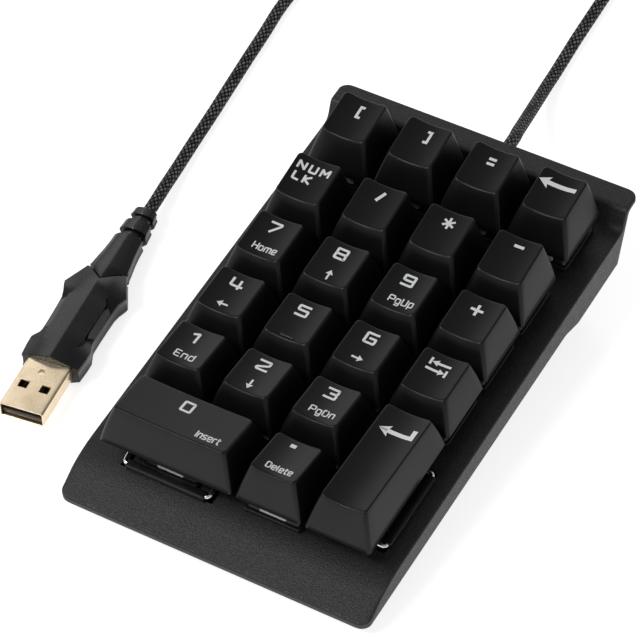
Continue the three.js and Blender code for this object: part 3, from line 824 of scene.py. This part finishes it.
# ---- Switches ----
FLANGE_Z = DECK_Z + 0.3
NECK_Z = FLANGE_Z + 1.0


def stack(name, levels, material):
    """A moulding through rounded rectangles, each [half width, half depth, corner, z]."""
    return mesh_from(name, *skin([flat(rounded(-x, x, -y, y, r, 4), z) for x, y, r, z in levels]), material)


def lens_mesh():
    rings = []
    for z, y0, y1, half in (
        (NECK_Z + 0.25, -6.9, -5.6, 3.4), (NECK_Z + 0.4, -7.08, -5.6, 3.65),
        (NECK_Z + 0.8, -6.85, -5.4, 3.7), (0.35, -5.2, -4.4, 3.6), (0.55, -4.95, -4.4, 3.4),
    ):
        rings.append(flat(rounded(-half, half, y0, y1, 0.25, 3), z))
    return mesh_from("switch_lens", *skin(rings), MILKY_MAT)


# The black housings, each with a bore for the slider, and the milky lens in the front of the upper one
SWITCH_PARTS = {
    "lower": stack("switch_lower", (
        (6.4, 6.4, 0.8, -10.8), (6.95, 6.95, 0.8, -10.2), (6.95, 6.95, 0.8, DECK_Z),
        (7.0, 7.0, 0.8, FLANGE_Z), (7.7, 7.7, 0.7, FLANGE_Z), (7.8, 7.8, 0.8, FLANGE_Z + 0.12),
        (7.8, 7.8, 0.8, NECK_Z - 0.15), (7.65, 7.65, 0.8, NECK_Z), (3.75, 3.15, 0.4, NECK_Z),
        (3.75, 3.15, 0.4, -9.9),
    ), HOUSING_MAT),
    "upper": stack("switch_upper", (
        (7.0, 6.8, 0.7, NECK_Z - 0.1), (7.1, 6.9, 0.7, NECK_Z + 0.1), (6.9, 6.6, 0.7, NECK_Z + 0.8),
        (5.55, 4.85, 0.7, 0.55), (5.3, 4.6, 0.6, 0.8), (3.75, 3.15, 0.4, 0.8),
        (3.75, 3.15, 0.4, NECK_Z - 0.1),
    ), HOUSING_MAT),
    "lens": lens_mesh(),
}

# ---- Legends ----
# Each glyph is strokes through points of a box of width 1 and height 1, from these named places
LOW = 0.76
TAIL = -0.32
BL, BR, TL, TR = (0, 0), (1, 0), (0, 1), (1, 1)
ML, MR = (0, 0.5), (1, 0.5)
XL, XR = (0, LOW), (1, LOW)
DIGITS = {
    "0": [[BL, BR, TR, TL, BL]],
    "1": [[(0.15, 0.82), (0.6, 1), (0.6, 0)]],
    "2": [[TL, TR, (1, 0.62), (0, 0.22), BL, BR]],
    "3": [[TL, TR, (1, 0.6), (0.85, 0.5), (1, 0.4), BR, BL], [(0.3, 0.5), (0.85, 0.5)]],
    "4": [[TL, (0, 0.3), (1.1, 0.3)], [(0.82, 1), (0.82, 0)]],
    "5": [[TR, TL, (0, 0.55), (1, 0.55), BR, BL]],
    "6": [[TR, TL, BL, BR, MR, (0.45, 0.5)]],
    "7": [[TL, TR, (1, 0.86), (0.25, 0)]],
    "8": [[ML, BL, BR, MR, ML, TL, TR, MR]],
    "9": [[MR, ML, TL, TR, BR, BL]],
}
# Each letter: its width and its strokes
LETTERS = {
    "H": (1.15, [[BL, TL], [BR, TR], [ML, MR]]),
    "E": (1.0, [[TR, TL, BL, BR], [ML, (0.85, 0.5)]]),
    "P": (1.1, [[BL, TL, TR, (1, 0.42), (0, 0.42)]]),
    "U": (1.1, [[TL, BL, BR, TR]]),
    "D": (1.15, [[BL, TL, (0.75, 1), (1, 0.8), (1, 0.2), (0.75, 0), BL]]),
    "I": (0.01, [[BL, TL]]),
    "N": (1.15, [[BL, TL, BR, TR]]),
    "M": (1.3, [[BL, TL, (0.5, 0.35), TR, BR]]),
    "L": (0.95, [[TL, BL, BR]]),
    "K": (1.05, [[BL, TL], [TR, (0.05, 0.5), BR]]),
    "o": (0.95, [[BL, BR, XR, XL, BL]]),
    "m": (1.6, [[BL, XL, XR, BR], [(0.5, LOW), (0.5, 0)]]),
    "e": (0.95, [[BR, BL, XL, XR, (1, 0.35), (0.1, 0.35)]]),
    "n": (0.95, [[BL, XL, XR, BR]]),
    "d": (0.95, [[TR, BR, BL, XL, XR]]),
    "g": (0.95, [[BR, BL, XL, XR, (1, TAIL), (0.1, TAIL)]]),
    "p": (0.95, [[(0, TAIL), XL, XR, BR, BL]]),
    "s": (0.85, [[XR, XL, (0, 0.37), (1, 0.37), BR, BL]]),
    "r": (0.6, [[BL, XL, XR]]),
    "t": (0.6, [[(0.3, 0.98), (0.3, 0), BR], [XL, XR]]),
    "l": (0.2, [[TL, BL, BR]]),
}
# Each sign, in millimetres: its stroke's width, how much longer its ends are, and its strokes
SPOKES = [(1.7 * math.cos(a), 1.7 * math.sin(a)) for a in map(math.radians, (30, 90, 150))]
SIGNS = {
    "plus": (0.74, 0, [[(-1.7, 0), (1.7, 0)], [(0, -1.7), (0, 1.7)]]),
    "minus": (0.82, 0, [[(-1.35, 0), (1.35, 0)]]),
    "equals": (0.76, 0, [[(-1.05, 0.74), (1.05, 0.74)], [(-1.05, -0.74), (1.05, -0.74)]]),
    "divide": (0.85, 0, [[(-0.7, -1.45), (0.7, 1.45)]]),
    "multiply": (0.6, 0, [[(-c, -s), (c, s)] for c, s in SPOKES]),
    "decimal": (1.15, 0, [[(-0.75, 0), (0.75, 0)]]),
    "bracket_left": (0.72, 0.1, [[(0.6, 1.6), (-0.4, 1.6), (-0.4, -1.6), (0.6, -1.6)]]),
    "bracket_right": (0.72, 0.1, [[(-0.6, 1.6), (0.4, 1.6), (0.4, -1.6), (-0.6, -1.6)]]),
}
DIGIT_STROKE = 0.66
WORD_STROKE = 0.34
WORD_GAP = 0.5
CORNER_CUT = 0.16
PRINT_CELL, PRINT_LIFT, PRINT_SINK = 0.7, 0.025, 0.12
ARROW_LENGTH, ARROW_SHAFT, ARROW_HEAD, ARROW_SPREAD = 3.1, 0.52, 1.3, 1.0
HOOK_SHAFT, HOOK_HEAD, HOOK_SPREAD = 1.2, 2.6, 1.75


def line_quads(points, width, ends=0.0):
    """Quads along a polyline with mitred corners; a closed line joins itself."""
    pts = [Vector(p) for p in points]
    closed = (pts[0] - pts[-1]).length < 1e-6
    if closed:
        pts = pts[:-1]
    count = len(pts)
    legs = [(pts[(i + 1) % count] - pts[i]).normalized() for i in range(count)]
    pairs = []
    for i, p in enumerate(pts):
        first, last = not closed and i == 0, not closed and i == count - 1
        before = legs[i] if first else legs[i - 1]
        after = before if last else legs[i]
        normal_a, normal_b = Vector((-before.y, before.x)), Vector((-after.y, after.x))
        mid = normal_a + normal_b
        mid = mid.normalized() if mid.length > 1e-6 else normal_a
        reach = width / 2 / max(0.35, mid.dot(normal_a))
        shift = (-before if first else after if last else Vector((0, 0))) * ends
        pairs.append((p + mid * reach + shift, p - mid * reach + shift))
    if closed:
        pairs.append(pairs[0])
    return [(a[0], b[0], b[1], a[1]) for a, b in zip(pairs, pairs[1:])]


def legend_slab(quads, height):
    """Thin printed pads: each quad [a, b, c, d] in the cap's plan is laid on the scooped top."""
    parts = []
    for a, b, c, d in quads:
        nu = max(1, math.ceil(max((b - a).length, (c - d).length) / PRINT_CELL))
        nv = max(1, math.ceil(max((d - a).length, (c - b).length) / PRINT_CELL))
        grid = []
        for j in range(nv + 1):
            start, end = a.lerp(d, j / nv), b.lerp(c, j / nv)
            grid += [start.lerp(end, i / nu) for i in range(nu + 1)]
        n, wide = len(grid), nu + 1
        points = []
        for shift in (PRINT_LIFT, -PRINT_SINK):
            points += [(p.x, p.y, height(p.x, p.y) + shift) for p in grid]
        faces = []
        for j in range(nv):
            for i in range(nu):
                k = j * wide + i
                quad = (k, k + 1, k + wide + 1, k + wide)
                faces += [quad, tuple(n + m for m in reversed(quad))]
        border = [*range(nu), *range(nu, n - 1, wide)]
        border += [*range(n - 1, n - wide, -1), *range(n - wide, 0, -wide)]
        for here, there in zip(border, [*border[1:], 0]):
            faces.append((here, n + here, n + there, there))
        parts.append((points, faces))
    return parts


def cut_corners(points):
    """The polyline with each square corner cut off."""
    pts = [Vector(p) for p in points]
    closed = (pts[0] - pts[-1]).length < 1e-6
    out = [] if closed else [pts[0]]
    for i in range(0 if closed else 1, len(pts) - 1):
        here, before, after = pts[i], pts[i - 1 if i else -2], pts[i + 1]
        back, onward = (before - here).normalized(), (after - here).normalized()
        if back.dot(onward) < -0.9:
            out.append(here)
            continue
        cut = min(CORNER_CUT, (before - here).length * 0.4, (after - here).length * 0.4)
        out += [here + back * cut, here + onward * cut]
    return [*out, out[0] if closed else pts[-1]]


def digit(character, x, y, width=2.75, tall=2.95):
    quads = []
    for line in DIGITS[character]:
        placed = [(x + (px - 0.5) * width, y + (py - 0.5) * tall) for px, py in line]
        quads += line_quads(cut_corners(placed), DIGIT_STROKE, DIGIT_STROKE / 2 if len(line) > 2 else 0)
    return quads


def word(text, x, y, width, tall, stroke=WORD_STROKE, gap=WORD_GAP):
    """Letters between x - width / 2 and x + width / 2, their middle at y."""
    natural = sum(LETTERS[c][0] for c in text) + gap * (len(text) - 1)
    unit = (width - stroke) / natural
    rise = tall - stroke
    left = x - width / 2 + stroke / 2
    quads = []
    for c in text:
        letter_width, lines = LETTERS[c]
        for line in lines:
            placed = [(left + px * letter_width * unit, y + (py - 0.5) * rise) for px, py in line]
            quads += line_quads(cut_corners(placed), stroke, stroke * 0.3)
        left += (letter_width + gap) * unit
    return quads


def sign(name, x, y):
    width, ends, lines = SIGNS[name]
    quads = []
    for line in lines:
        quads += line_quads([(x + px, y + py) for px, py in line], width, ends)
    return quads


def head_half(base, tip, corner):
    """One half of an arrow's head."""
    return base, tip, tip.lerp(corner, 0.5), corner


def arrow(x, y, turn):
    """A short arrow whose middle is at x, y; turn 0 points right."""
    c, s = math.cos(math.radians(turn)), math.sin(math.radians(turn))

    def at(px, py):
        return Vector((x + px * c - py * s, y + px * s + py * c))

    tip, neck, half = ARROW_LENGTH / 2, ARROW_LENGTH / 2 - ARROW_HEAD, ARROW_SHAFT / 2
    quads = [(at(-tip, -half), at(neck, -half), at(neck, half), at(-tip, half))]
    for side in (-1, 1):
        quads.append(head_half(at(neck, 0), at(tip, 0), at(neck - 0.1, side * ARROW_SPREAD)))
    return quads


def hooked_arrow(x, y, reach, stem):
    """An arrow to the left, with an upright stem at its right end if stem isn't 0."""
    tip = Vector((x - reach / 2, y))
    base = Vector((tip.x + HOOK_HEAD - 0.3, y))
    right = x + reach / 2
    line = [base, (right, y)]
    if stem:
        corner_x = right - HOOK_SHAFT / 2
        line = [base, (corner_x, y), (corner_x, y + stem)]
    quads = line_quads(line, HOOK_SHAFT)
    for side in (-1, 1):
        quads.append(head_half(base, tip, Vector((tip.x + HOOK_HEAD + 0.25, y + side * HOOK_SPREAD))))
    return quads


def tab_mark(x, y):
    """Two arrows, one to the left and one to the right, each against an upright bar."""
    quads = []
    for side, level in ((-1, 1.15), (1, -1.15)):
        bar = x + side * 2.5
        quads += line_quads([(bar, y + level - 1.05), (bar, y + level + 1.05)], 0.62)
        tip = Vector((bar - side * 0.35, y + level))
        base = Vector((tip.x - side * 1.5, tip.y))
        quads += line_quads([base, (x - side * 2.9, tip.y)], 0.68)
        for lift in (-1, 1):
            quads.append(head_half(base, tip, Vector((tip.x - side * 1.6, tip.y + lift * 0.95))))
    return quads


DIGIT_AT = (-0.4, 4.78)
LEGENDS = {name: digit(name, *DIGIT_AT) for name in "123456789"}
LEGENDS["0"] = digit("0", -0.37, 4.2, 2.6, 3.0) + word("Insert", 9.4, -2.35, 6.7, 2.25)
LEGENDS["decimal"] = sign("decimal", -0.75, 5.95) + word("Delete", 0.35, -2.25, 7.2, 2.1)
for name, second in (
    ("1", word("End", 0.2, -1.6, 5.6, 2.3)), ("2", arrow(-0.2, -2.0, -90)),
    ("3", word("PgDn", 0.6, -1.6, 6.9, 2.2)), ("4", arrow(-0.35, -2.1, 180)),
    ("6", arrow(-0.5, -2.0, 0)), ("7", word("Home", 0.63, -2.0, 6.8, 2.2)),
    ("8", arrow(-0.1, -2.15, 90)), ("9", word("PgUp", 1.0, -1.7, 6.9, 2.2)),
):
    LEGENDS[name] += second
for name, x, y in (
    ("divide", 0.05, 4.9), ("multiply", 0.35, 4.85), ("minus", 0.45, 5.8), ("plus", -0.2, 4.1),
    ("bracket_left", 0.3, 4.3), ("bracket_right", 0.8, 4.4), ("equals", 0.05, 4.4),
):
    LEGENDS[name] = sign(name, x, y)
LEGENDS["num_lock"] = word("NUM", -0.2, 5.2, 9.3, 2.6, 0.6, 0.85)
LEGENDS["num_lock"] += word("LK", -1.9, 1.85, 5.2, 2.6, 0.6, 0.85)
LEGENDS["backspace"] = hooked_arrow(-0.55, 4.55, 10.2, 0)
LEGENDS["tab"] = tab_mark(-0.55, 4.15)
LEGENDS["enter"] = hooked_arrow(0.1, 10.6, 9.2, 2.7)

# ---- Keys in their places: [name, column, row, width in units] ----
KEYS = [("0", 0.5, 0, 2), ("decimal", 2, 0, 1)]
KEYS += [(str(1 + i), i, 1, 1) for i in range(3)]
KEYS += [(name, i, 2, 1) for i, name in enumerate(("4", "5", "6", "tab"))]
KEYS += [(name, i, 3, 1) for i, name in enumerate(("7", "8", "9", "plus"))]
KEYS += [(name, i, 4, 1) for i, name in enumerate(("num_lock", "divide", "multiply", "minus"))]
KEYS += [(name, i, 5, 1) for i, name in enumerate(("bracket_left", "bracket_right", "equals", "backspace"))]
KEYS += [("enter", 3, None, 1)]
STABILISER_REACH, STABILISER_ARM, WIRE_R, BAR_Z = 11.9, 9.2, 0.65, -4.95

shared = {}
places = []
for name, at_column, row_index, units in KEYS:
    row = ENTER_ROW if row_index is None else ROWS[row_index]
    spare_x = (units - 1) * PITCH / 2
    spare_y = PITCH / 2 if row_index is None else 0.0
    dish = CAP_DISH / 2 if units > 1 else CAP_DISH
    kind = (row_index, units)
    if kind not in shared:
        roof = min(row[1][1], row[2][1]) - dish - CAP_ROOF
        posts = []
        if spare_x:
            posts = [(-STABILISER_REACH, 0), (STABILISER_REACH, 0)]
        if spare_y:
            posts = [(0, -STABILISER_REACH), (0, STABILISER_REACH)]
        cap = cap_mesh(f"cap_{name}", row, spare_x, spare_y, dish)
        shared[kind] = (cap, slider_mesh(f"slider_{name}", roof, posts))
    cap, slider = shared[kind]
    at = (column(at_column), row[0])
    place = at_mm(DECK, *at)
    body = f"key_{name}"
    show(f"cap_{name}", cap, place, f"keycap_{name}", body)
    show(f"slider_{name}", slider, place, body=body)
    slab = legend_slab(LEGENDS[name], cap_face(row, dish, CAP_TOP + spare_x))
    legend = mesh_from(f"legend_{name}", *join_skins(slab), LEGEND_MAT, 40)
    show(f"legend_{name}", legend, place, body=body)
    for part, mesh in SWITCH_PARTS.items():
        stands_for = f"switch_{name}" if part == "lower" else None
        show(f"switch_{part}_{name}", mesh, place, stands_for)
    places.append(at)

HOMING_Y = -3.85
five_height = cap_face(ROWS[2], CAP_DISH, CAP_TOP)
rings = []
for half, reach, z in ((2.0, 0.3, -0.1), (1.95, 0.26, 0.12), (1.75, 0.12, 0.22)):
    plan = rounded(-half, half, HOMING_Y - reach, HOMING_Y + reach, reach * 0.9, 4)
    rings.append([(x, y, five_height(x, y) + z) for x, y in plan])
homing = mesh_from("homing_bar", *skin(rings), CAP_MAT, 40)
show("homing_bar", homing, at_mm(DECK, column(1), ROWS[2][0]), body="key_5")

# ---- Stabiliser wires and the black guides that hold them; the guides over the bars also stand in for the shade the bars lie in ----
wire_rise = math.asin(TRAVEL / 2 / STABILISER_ARM)
arm_run = STABILISER_ARM * math.cos(wire_rise)
WIRE_BEND = 1.2


def wire_mesh():
    reach, tip = STABILISER_REACH, STABILISER_ARM - WIRE_R
    arm = [(reach, y) for y in (tip, tip * 0.7, tip * 0.4, WIRE_BEND)]
    arm += [(reach - 0.12, 0.45), (reach - 0.45, 0.12), (reach - WIRE_BEND, 0)]
    plan = [(-x, y) for x, y in arm] + [(x, 0) for x in (-reach * 0.5, 0, reach * 0.5)] + arm[::-1]
    lifted = [(x, y * math.cos(wire_rise), y * math.sin(wire_rise)) for x, y in plan]
    return mesh_from("wire", *rod(lifted, WIRE_R, 0.5), STEEL_MAT, 60)


zero_place = (-PITCH, ROWS[0][0])
enter_place = (column(3), ENTER_ROW[0])
quarter_turn = Matrix.Rotation(math.pi / 2, 4, "Z")
wire_places = {
    "0": at_mm(DECK, zero_place[0], zero_place[1] - arm_run, BAR_Z),
    "enter": at_mm(DECK, enter_place[0] + arm_run, enter_place[1], BAR_Z) @ quarter_turn,
}
wire = wire_mesh()
for name, place in wire_places.items():
    show(f"wire_{name}_plated", wire, place, f"stabiliser_wire_{name}", f"wire_{name}")
# Each black guide covers its wire's bar: a dark block standing in for the shade the bar lies in.
bar_shade_guide_half = STABILISER_REACH - 0.75
bar_shade_guide_block = block(-bar_shade_guide_half, bar_shade_guide_half, -1.15, 1.15, -0.95, 0.78, 0.3, 0.5)
bar_shade_guide = mesh_from("bar_shade_guide", *bar_shade_guide_block, HOUSING_MAT)
for name, place in wire_places.items():
    show(f"stabiliser_bar_shade_guide_{name}", bar_shade_guide, place)

# ---- Upper case: its side outline as [y, z, rounding], clockwise from the front's lower edge ----
HALF_WIDTH = 43.0
FRONT, FRONT_TOP, FRONT_BOTTOM = -69.3, -9.86, -11.7
APRON_BEND, RISER_FOOT, RISER_HEAD = -57.5, 62.6, 65.2
LIP_Z, BACK, LIP_THICKNESS, UNDER_LIP = -0.5, 72.0, 1.5, 66.3
BACK_BOTTOM, BACK_BOTTOM_Z = 59.7, -15.5
PLAN_CORNER = 3.0
SIDE_EDGE = 0.5
WALL, SIDE_WALL = 1.5, 1.8
OUTLINE_STEPS = 6
CASE_OUTLINE = [
    (FRONT, FRONT_BOTTOM, 0.3), (FRONT, FRONT_TOP, 0.6), (APRON_BEND, DECK_Z, 5.0),
    (RISER_FOOT, DECK_Z, 1.9), (RISER_HEAD, LIP_Z, 1.2), (BACK, LIP_Z, 0.5),
    (BACK, LIP_Z - LIP_THICKNESS, 0.5), (UNDER_LIP, LIP_Z - LIP_THICKNESS, 1.0),
    (BACK_BOTTOM, BACK_BOTTOM_Z, 0.3), (38.0, -15.4, 0.6), (31.3, -13.0, 0.6),
]
HOLE_HALF = 7.25
SLOT_HALF, SLOT_RUN, SLOT_END = 1.05, STABILISER_ARM / 2, 1.2
OUTLET_RADIUS = 4.0
BELOW_ALL = -30


def round_outline(corners):
    points = []
    for i, (y, z, radius) in enumerate(corners):
        here = Vector((y, z))
        before, after = (Vector(corners[j % len(corners)][:2]) for j in (i - 1, i + 1))
        a = here + (before - here).normalized() * radius
        b = here + (after - here).normalized() * radius
        points += [bend(a, here, b, k / OUTLINE_STEPS) for k in range(OUTLINE_STEPS + 1)]
    return points


def inset_outline(points, amount):
    """The clockwise outline moved inwards."""
    moved = []
    for i, p in enumerate(points):
        before = (p - points[i - 1]).normalized()
        after = (points[(i + 1) % len(points)] - p).normalized()
        normal = Vector((before.y + after.y, -(before.x + after.x))).normalized()
        moved.append(p + normal * amount / max(0.5, normal.dot(Vector((before.y, -before.x)))))
    return moved


def case_rings():
    """Sections of the case from left to right, with soft side edges and round plan corners."""
    outline = round_outline(CASE_OUTLINE)
    turns = [math.radians(a) for a in (0, 22, 45, 67, 90)]
    right = [(HALF_WIDTH - SIDE_EDGE * (1 - math.cos(a)), SIDE_EDGE * (1 - math.sin(a))) for a in turns]
    right += [(HALF_WIDTH - d, 0.0) for d in (0.9, 1.4, 2.0, 3.0, 9.0, 20.0, 32.0)]
    rings = []
    for x, inset in [*[(-x, inset) for x, inset in right], (0.0, 0.0), *reversed(right)]:
        d = min(PLAN_CORNER, HALF_WIDTH - abs(x))
        pulled = PLAN_CORNER - math.sqrt(PLAN_CORNER ** 2 - (PLAN_CORNER - d) ** 2)
        ring = []
        for p in inset_outline(outline, inset):
            near_front, near_back = (max(0, 1 - d / PLAN_CORNER) for d in (p.x - FRONT, BACK - p.x))
            ring.append((x, p.x + pulled * (near_front - near_back), p.y))
        rings.append(ring)
    return rings


def case_cavity():
    """The hollow under the deck, open below."""
    back_run = (UNDER_LIP - BACK_BOTTOM) / (LIP_Z - LIP_THICKNESS - BACK_BOTTOM_Z)
    apron = (DECK_Z - FRONT_TOP) / (APRON_BEND - FRONT)
    ceiling = DECK_Z - WALL
    cavity = [(FRONT + 2, BELOW_ALL), (FRONT + 2, FRONT_TOP + 2 * apron - WALL), (APRON_BEND, ceiling)]
    cavity += [(BACK_BOTTOM + (z - BACK_BOTTOM_Z) * back_run - 2, z) for z in (ceiling, BELOW_ALL)]
    inner = HALF_WIDTH - SIDE_WALL
    return skin([[(x, y, z) for y, z in cavity] for x in (-inner, inner)], fans=False)


def opening(x, y, half_x, half_y, half_z):
    return box(x - half_x, x + half_x, y - half_y, y + half_y, DECK_Z - half_z, DECK_Z + half_z)


def case_openings():
    """Holes for the switches, slots for the stabiliser wires' arms, and the cable's outlet behind."""
    openings = [opening(x, y, HOLE_HALF, HOLE_HALF, 3.0) for x, y in places]
    reach = SLOT_RUN + SLOT_END
    for side in (-1, 1):
        x, y = zero_place[0] + side * STABILISER_REACH, zero_place[1] - SLOT_RUN + 1
        openings.append(opening(x, y, SLOT_HALF, reach, 3.1))
        x, y = enter_place[0] + SLOT_RUN - 1, enter_place[1] + side * STABILISER_REACH
        openings.append(opening(x, y, reach, SLOT_HALF, 3.1))
    outlet = []
    for at_y in (50, 80):
        here = DECK.inverted() @ Vector((0, at_y * MM, GLAND_Z * MM)) / MM
        ring = circle(OUTLET_RADIUS, 32)
        outlet.append([(x, here.y + up * math.sin(TILT), here.z + up * math.cos(TILT)) for x, up in ring])
    return [*openings, skin(outlet)]


def upper_case_mesh():
    raw = loose("case_raw", [skin(case_rings(), fans=False)], CASE_MAT)
    for cutter in (case_cavity(), *case_openings()):
        cut_away(raw, loose("opening", [cutter], CASE_MAT))
    return mesh_of(raw, 28, DECK)


case = show("upper_case_moulding", upper_case_mesh(), KEYPAD, "upper_case")
weighted = case.modifiers.new("even_shading", "WEIGHTED_NORMAL")
weighted.keep_sharp = True
weighted.weight = 60

# ---- Lower case ----
DESK_Y, DESK_Z, FOOT_HEIGHT = -53.0, -17.0, 1.0
TUB_RIM, TUB_SHOULDER, TUB_CORNER, TUB_WALL = -11.3, -13.2, 3.0, 1.6
# Half width, front and back of the tub's walls and of its underside
TUB_SIDES, TUB_FLOOR = (40.8, -66.9, 58.6), (37.0, -62.0, 52.0)


def bottom_z(y):
    """Height of the tub's underside in the deck's frame, one foot above the table."""
    return DESK_Z - (y - DESK_Y) * math.tan(TILT) + (FOOT_HEIGHT + 0.3) / math.cos(TILT)


def tub_plan(part, inset):
    half, front, back = part
    return rounded(-half + inset, half - inset, front + inset, back - inset, TUB_CORNER, 6)


def tub_mesh():
    rings = []
    for lift, inset in ((0.0, 0.55), (0.05, 0.25), (0.2, 0.07), (0.5, 0.0)):
        rings.append([(x, y, bottom_z(y) + lift) for x, y in tub_plan(TUB_FLOOR, inset)])
    for z, inset in (
        (TUB_SHOULDER, 0.25), (TUB_SHOULDER + 0.25, 0.0), (TUB_RIM - 0.1, 0.0), (TUB_RIM, 0.15),
        (TUB_RIM, TUB_WALL), (TUB_SHOULDER, TUB_WALL),
    ):
        rings.append(flat(tub_plan(TUB_SIDES, inset), z))
    rings.append([(x, y, bottom_z(y) + 1.4) for x, y in tub_plan(TUB_FLOOR, TUB_WALL)])
    mesh = mesh_from("tub", *skin(rings), TUB_MAT, 28)
    mesh.transform(DECK)
    return mesh


show("lower_case_moulding", tub_mesh(), KEYPAD, "lower_case")

FOOT_HALF, FOOT_DEPTH = 26.0, 7.0
for name, y in (("front", -49.0), ("back", 40.0)):
    rings = []
    for inset, z in ((0.35, 0.0), (0.1, 0.08), (0.0, 0.3), (0.0, 0.9), (0.0, 1.25)):
        half, deep = FOOT_HALF - inset, FOOT_DEPTH / 2 - inset
        rings.append(flat(rounded(-half, half, y - deep, y + deep, FOOT_DEPTH / 3, 8, 8), z))
    foot = mesh_from(f"{name}_foot", *skin(rings), RUBBER_MAT, 40)
    show(f"{name}_foot_rubber", foot, KEYPAD, f"{name}_foot")

SCREW_PROFILE = ((2.6, 0.0), (2.6, -0.35), (2.3, -0.5), (1.0, -0.55))
SCREW_PLACES = ((-31, -55), (31, -55), (-31, 44), (31, 44))


def screw_mesh():
    """A countersunk cross-head screw, its head facing down."""
    raw = loose("screw_raw", [skin([flat(circle(r, 24), z) for r, z in SCREW_PROFILE])], SCREW_MAT)
    for half_x, half_y in ((1.5, 0.28), (0.28, 1.5)):
        cut_away(raw, loose("cross", [box(-half_x, half_x, -half_y, half_y, -1, -0.25)], SCREW_MAT))
    return mesh_of(raw, 30)


screw = screw_mesh()
upright = Matrix.Rotation(-TILT, 4, "X")
for k, (x, y) in enumerate(SCREW_PLACES):
    show(f"screw_{k}", screw, at_mm(DECK, x, y, bottom_z(y) + 0.1) @ upright)


def board_material():
    mask, trace = (0.008, 0.045, 0.02), (0.014, 0.075, 0.032)
    mat, bsdf = new_material("solder_mask", mask, 0.35)
    traces = object_noise(mat, 1.4, detail=0, stretch=(1, 0.15, 1))
    tone = blend_colors(mat, remap(mat, traces, 0.5, 0.53, 0, 1), mask, trace)
    link(mat, tone, bsdf.inputs["Base Color"])
    link(mat, bump(mat, traces, 0.03), bsdf.inputs["Normal"])
    return mat


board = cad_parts["circuit_board"]
board.data.materials.clear()
board.data.materials.append(board_material())

# ---- Stage and light ----
FLOOR_HALF, FLOOR_Z, FLOOR_GLOW = 6.0, -0.00005, 0.79
HORIZON, LOW_SKY, ZENITH = 0.95, 0.50, 0.20
LOW_SKY_AT = 0.25

floor_mesh = bpy.data.meshes.new("floor")
corners = [(x * FLOOR_HALF, y * FLOOR_HALF, FLOOR_Z) for x, y in ((-1, -1), (1, -1), (1, 1), (-1, 1))]
floor_mesh.from_pydata(corners, [], [(0, 1, 2, 3)])
floor_mat, floor_bsdf = new_material("floor_paper", (0.6, 0.6, 0.6), 0.9, specular=0.1)
floor_bsdf.inputs["Emission Color"].default_value = (1, 1, 1, 1)
floor_bsdf.inputs["Emission Strength"].default_value = FLOOR_GLOW
paper = blend_colors(floor_mat, object_noise(floor_mat, 30), (0.59, 0.59, 0.59), (0.61, 0.61, 0.61))
link(floor_mat, paper, floor_bsdf.inputs["Base Color"])
floor_mesh.materials.append(floor_mat)
floor = add_to_scene("floor", floor_mesh)

world = bpy.data.worlds.new("studio")
bpy.context.scene.world = world
world.use_nodes = True
background = world.node_tree.nodes["Background"]
background.inputs["Strength"].default_value = 1.0
direction = node(world, "ShaderNodeTexCoord")
split = node(world, "ShaderNodeSeparateXYZ")
sky = node(world, "ShaderNodeValToRGB")
link(world, direction.outputs["Generated"], split.inputs["Vector"])
link(world, split.outputs["Z"], sky.inputs["Fac"])
link(world, sky.outputs["Color"], background.inputs["Color"])
stops = sky.color_ramp.elements
stops[0].position = 0.0
stops[0].color = (HORIZON, HORIZON, HORIZON, 1)
stops[1].position = 1.0
stops[1].color = (ZENITH, ZENITH, ZENITH * 1.02, 1)
stops.new(LOW_SKY_AT).color = (LOW_SKY, LOW_SKY, LOW_SKY, 1)


def softbox(name, place, target, size, power):
    data = bpy.data.lights.new(name, "AREA")
    data.shape = "RECTANGLE"
    data.size, data.size_y = size
    data.energy = power
    light = add_to_scene(name, data)
    light.location = place
    light.rotation_mode = "QUATERNION"
    light.rotation_quaternion = (Vector(target) - Vector(place)).to_track_quat("-Z", "Y")


softbox("front_left", (-0.63, -0.91, 1.36), (0, 0, 0), (0.9, 0.2), 13)
softbox("overhead", (-0.25, -0.28, 0.62), (-0.1, -0.1, 0), (0.5, 0.3), 0.08)
softbox("back_left", (-0.8, 1.08, 0.9), (0, 0, 0), (1.2, 0.5), 3.3)

bpy.context.scene.view_settings.view_transform = "Standard"
bpy.context.scene.view_settings.look = "None"
